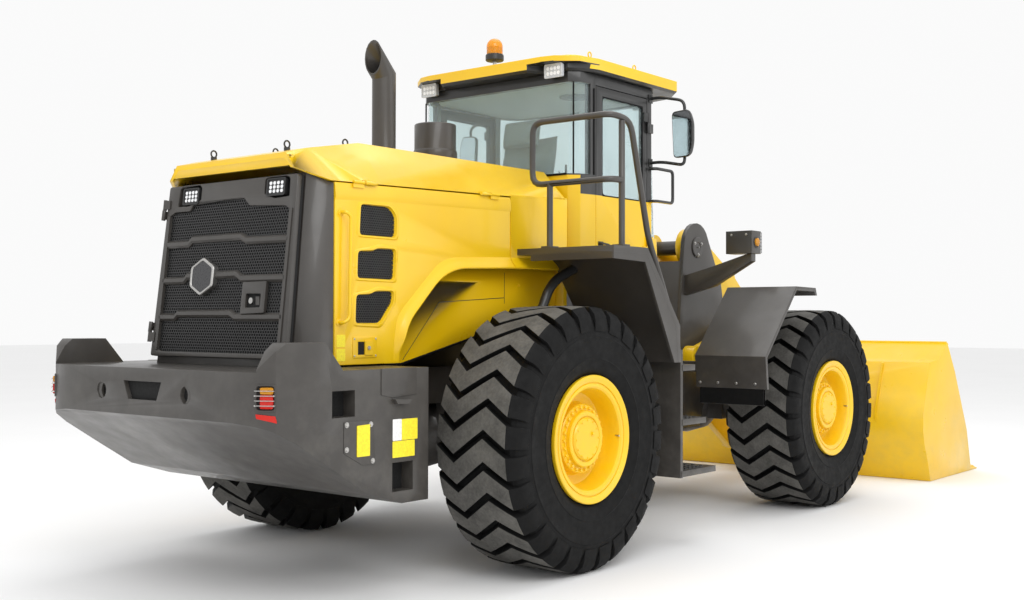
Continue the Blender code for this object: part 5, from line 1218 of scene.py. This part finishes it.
# ---------------------------------------------------------------- fenders, ladder and front lamps
def side_fittings():
    for side, hand in SIDES:
        bolts = Piece(f"ladder_bolts_{hand}", "rear", STEEL, DARK, LABEL_YELLOW)
        for u, v in ((1.063, 1.374), (1.168, 0.759), (1.286, 0.746), (1.075, 0.532), (1.44, 0.522)):
            bolts.bolt((rear(u), side * 1.151, v), (0, side, 0), 0.010, 0.008)
        for x0, x1, z in ((1.04, 1.486, 0.50), (1.05, 1.356, 0.84), (1.05, 1.211, 1.20)):
            columns = int((x1 - x0 - 0.05) / 0.05)
            for i in range(columns):
                for y in (1.18, 1.24, 1.30, 1.36):
                    spot = Vector((rear(x0 + 0.045 + 0.05 * i), side * y, z))
                    bolts.lathe([(0.014, -0.001), (0.013, 0.005), (0.009, 0.006), (0.008, 0.001)], spot,
                                (0, 0, 1), 12, 1)
        bolts.box((rear(1.36), side * 1.00, 1.50), (rear(1.372), side * 1.05, 1.56), 2)
        bolts.done()
        rivets = Piece(f"front_fender_bolts_{hand}", "front", STEEL, RUBBER)
        for y in (0.905, 1.055, 1.210, 1.365):
            rivets.bolt((front(-1.193), side * y, 1.030), (-1, 0, 0), 0.009, 0.008)
        rivets.box((front(-1.187), side * 0.90, 0.872), (front(-1.164), side * 1.43, 0.99), 1)
        rivets.done()
        deck = Piece(f"deck_grip_{hand}", "rear", DARK)
        for i in range(7):
            for j in range(9):
                spot = Vector((rear(0.245 + 0.048 * i + (0.024 if j % 2 else 0)), side * (0.86 + 0.062 * j),
                               1.950))
                if abs(spot.x - rear(0.25)) < 0.06 and abs(abs(spot.y) - 0.926) < 0.06:
                    continue
                deck.loft([[spot + Vector((a * (1 - g), b * (1 - g), z))
                            for a, b in ((-0.016, 0), (0, -0.005), (0.016, 0), (0, 0.005))]
                           for z, g in ((-0.001, 0), (0.0025, 0.4))])
        deck.done()
        brace = Piece(f"fender_brace_{hand}", "rear", DARK)
        path = [(rear(0.10), side * 0.66, 1.30), (rear(0.30), side * 0.80, 1.50),
                (rear(0.40), side * 0.82, 1.74), (rear(0.70), side * 0.84, 1.86)]
        brace.tube(rounded(path, 0.12, 6), 0.032, 16)
        brace.done()
        lamp = Piece(f"front_lamp_{hand}", "front", DARK, AMBER, LENS, LAMP_CHIP, STEEL)
        x0, x1, y0, y1, z0, z1 = front(-0.55), front(-0.52), 0.86, 1.07, 2.03, 2.19
        for i in range(8):
            y = side * (y0 + (y1 - y0) * i / 7)
            lamp.rod((x1, y, z0), (x1, y, z1), 0.0022, 6)
        for i in range(7):
            z = z0 + (z1 - z0) * i / 6
            lamp.rod((x1, side * y0, z), (x1, side * y1, z), 0.0022, 6)
            lamp.rod((x0 - 0.004, side * y1, z), (x1, side * y1, z), 0.0022, 6)
            lamp.rod((x0 - 0.004, side * y0, z), (x1, side * y0, z), 0.0022, 6)
        lamp.lathe([(0.058, 0), (0.058, 0.014), (0.050, 0.020), (0.001, 0.024)], (x0, side * 0.935, 2.11),
                   (1, 0, 0), 32, 2)
        lamp.lathe([(0.035, 0), (0.035, 0.016), (0.001, 0.022)], (x0, side * 1.035, 2.11), (1, 0, 0), 24, 1)
        ring = [(0.045, 0.0005), (0.045, 0.004), (0.038, 0.005), (0.036, 0.001)]
        lamp.lathe(ring, (front(-0.625), side * 1.080, 2.11), (0, side, 0), 28, 0)
        lamp.lathe([(0.033, 0.0), (0.033, 0.012), (0.022, 0.020), (0.001, 0.022)],
                   (front(-0.625), side * 1.080, 2.11), (0, side, 0), 24, 1)
        for y in (0.90, 1.03):
            lamp.bolt((front(-0.70), side * y, 2.17), (-1, 0, 0), 0.007, 0.006, 4)
        lamp.done()


side_fittings()


# ---------------------------------------------------------------- pins, hoses and bucket
def pin_cap(name, body, centre, side, radius):
    """A pin's end plate with its keeper bolts and a grease nipple."""
    piece = Piece(name, body, GREY, STEEL)
    axis = Vector((0, side, 0))
    piece.lathe([(radius, -0.004), (radius, 0.010), (radius - 0.006, 0.014), (radius * 0.5, 0.014),
                 (radius * 0.46, 0.010), (0.001, 0.010)], centre, axis, 36)
    for k in range(3):
        turn = math.radians(30 + 120 * k)
        spot = Vector(centre) + axis * 0.014 + Vector((math.cos(turn), 0, math.sin(turn))) * radius * 0.72
        piece.bolt(spot, axis, 0.009, 0.008, 1)
    piece.rod(Vector(centre) + axis * 0.010, Vector(centre) + axis * 0.022, 0.005, 8, 1)
    return piece.done()


A_PIN, B_PIN, LIFT_BASE, LIFT_EYE = (-0.466, 2.10), (1.614, 0.34), (-0.756, 1.20), (0.409, 1.519)


def linkage_details():
    for side, hand in SIDES:
        pin_cap(f"boom_pin_cap_{hand}", "front", (front(A_PIN[0]), side * 0.4505, A_PIN[1]), side, 0.085)
        pin_cap(f"lift_pin_cap_{hand}", "front", (front(LIFT_BASE[0]), side * 0.6605, LIFT_BASE[1]), side,
                0.055)
        pin_cap(f"bucket_pin_cap_{hand}", "bucket", (front(B_PIN[0]), side * 0.446, B_PIN[1]), side, 0.075)
        pin_cap(f"lift_eye_cap_{hand}", f"lift_rod_{hand}", (front(LIFT_EYE[0]), side * 0.631, LIFT_EYE[1]),
                side, 0.055)
        hose(f"steering_hose_{hand}", "rear", [(rear(1.02), side * 0.33, 0.90),
                                               (rear(1.10), side * 0.36, 1.00),
                                               (rear(1.04), side * 0.42, 0.98),
                                               (rear(0.98), side * 0.44, 0.86)], 0.011, 0.05)
    for k, y in enumerate((0.03, -0.03)):
        hose(f"waist_hose_{k + 1}", "front", [(front(-1.10), y + 0.05, 1.27),
                                              (front(-1.02), y + 0.05, 1.42),
                                              (front(-0.88), y + 0.03, 1.62), (front(-0.78), y, 1.60)],
             0.014, 0.12)


def bucket_details():
    wear = Piece("bucket_wear_parts", "bucket", YELLOW, STEEL)
    lip = front(3.29)
    for y0, y1 in ((-1.49, -0.755), (-0.745, -0.005), (0.005, 0.745), (0.755, 1.49)):
        edge = [(lip - 0.30, 0.030), (lip - 0.30, 0.046), (lip - 0.10, 0.046), (lip - 0.004, 0.012),
                (lip - 0.004, 0.006)]
        wear.loft([[(x, y, z) for x, z in edge] for y in (y0, y1)])
        for k in range(3):
            y = y0 + (y1 - y0) * (k + 0.5) / 3
            wear.bolt((lip - 0.22, y, 0.046), (0, 0, 1), 0.016, 0.008, 1)
    for side in (1, -1):
        outline = [(2.93, 0.10), (3.06, 0.07), (3.085, 0.10), (2.98, 0.40), (2.72, 0.86), (2.66, 0.84),
                   (2.88, 0.40)]
        wear.side_prism([(front(x), z) for x, z in outline], side * 1.485, side * 1.5004)
    for y in (-1.05, -0.62, 0.62, 1.05):
        rib = [(1.812, 0.50), (1.795, 0.62), (1.850, 0.80), (1.965, 1.09), (1.995, 1.10), (1.875, 0.79),
               (1.815, 0.62)]
        wear.side_prism([(front(x), z + 0.003) for x, z in rib], y - 0.010, y + 0.010)
    wear.tube([(front(2.452), y, 1.283) for y in (-1.49, 1.49)], 0.014, 12)
    wear.done(0.0, 34)


linkage_details()
bucket_details()


# ---------------------------------------------------------------- stage, light and camera
def stage():
    mesh = bpy.data.meshes.new("floor")
    size = 60
    mesh.from_pydata([(-size, -size, 0), (size, -size, 0), (size, size, 0), (-size, size, 0)], [],
                     [(0, 1, 2, 3)])
    floor = bpy.data.objects.new("floor", mesh)
    finish = Finish("studio_floor", 0.85)
    finish.colour(finish.mix(finish.noise(0.6), (0.86, 0.86, 0.86), (0.90, 0.90, 0.90)))
    mesh.materials.append(finish.material)
    bpy.context.scene.collection.objects.link(floor)
    world = bpy.data.worlds.new("studio")
    world.use_nodes = True
    world.node_tree.nodes["Background"].inputs["Color"].default_value = (1.0, 1.0, 1.0, 1)
    world.node_tree.nodes["Background"].inputs["Strength"].default_value = 0.96
    bpy.context.scene.world = world
    for name, place, aim, size, power in (
            ("key", (-7.5, -7.5, 8.5), (-1.0, 0, 1.2), 6.0, 470),
            ("top", (0.5, 0.0, 11.0), (0, 0, 0), 9.0, 380),
            ("fill", (4.0, -11.0, 4.0), (1.5, 0, 1.0), 6.0, 120)):
        light = bpy.data.lights.new(name, "AREA")
        light.shape = "SQUARE"
        light.size = size
        light.energy = power
        lamp = bpy.data.objects.new(name, light)
        lamp.location = place
        lamp.rotation_euler = (Vector(aim) - Vector(place)).to_track_quat("-Z", "Y").to_euler()
        bpy.context.scene.collection.objects.link(lamp)


def camera():
    data = bpy.data.cameras.new("camera")
    data.lens = 42.48
    data.sensor_width = 36.0
    data.clip_end = 200
    holder = bpy.data.objects.new("camera", data)
    heading, rise, roll = math.radians(39.03), math.radians(0.95), math.radians(0.11)
    view = Vector((math.cos(heading) * math.cos(rise), math.sin(heading) * math.cos(rise), math.sin(rise)))
    turn = view.to_track_quat("-Z", "Y").to_matrix().to_4x4() @ Matrix.Rotation(roll, 4, "Z")
    holder.matrix_world = Matrix.Translation((REAR_WHEEL.x - 5.854, -5.566, 1.494)) @ turn
    bpy.context.scene.collection.objects.link(holder)
    bpy.context.scene.camera = holder


stage()
camera()
bpy.context.scene.view_settings.view_transform = "Standard"
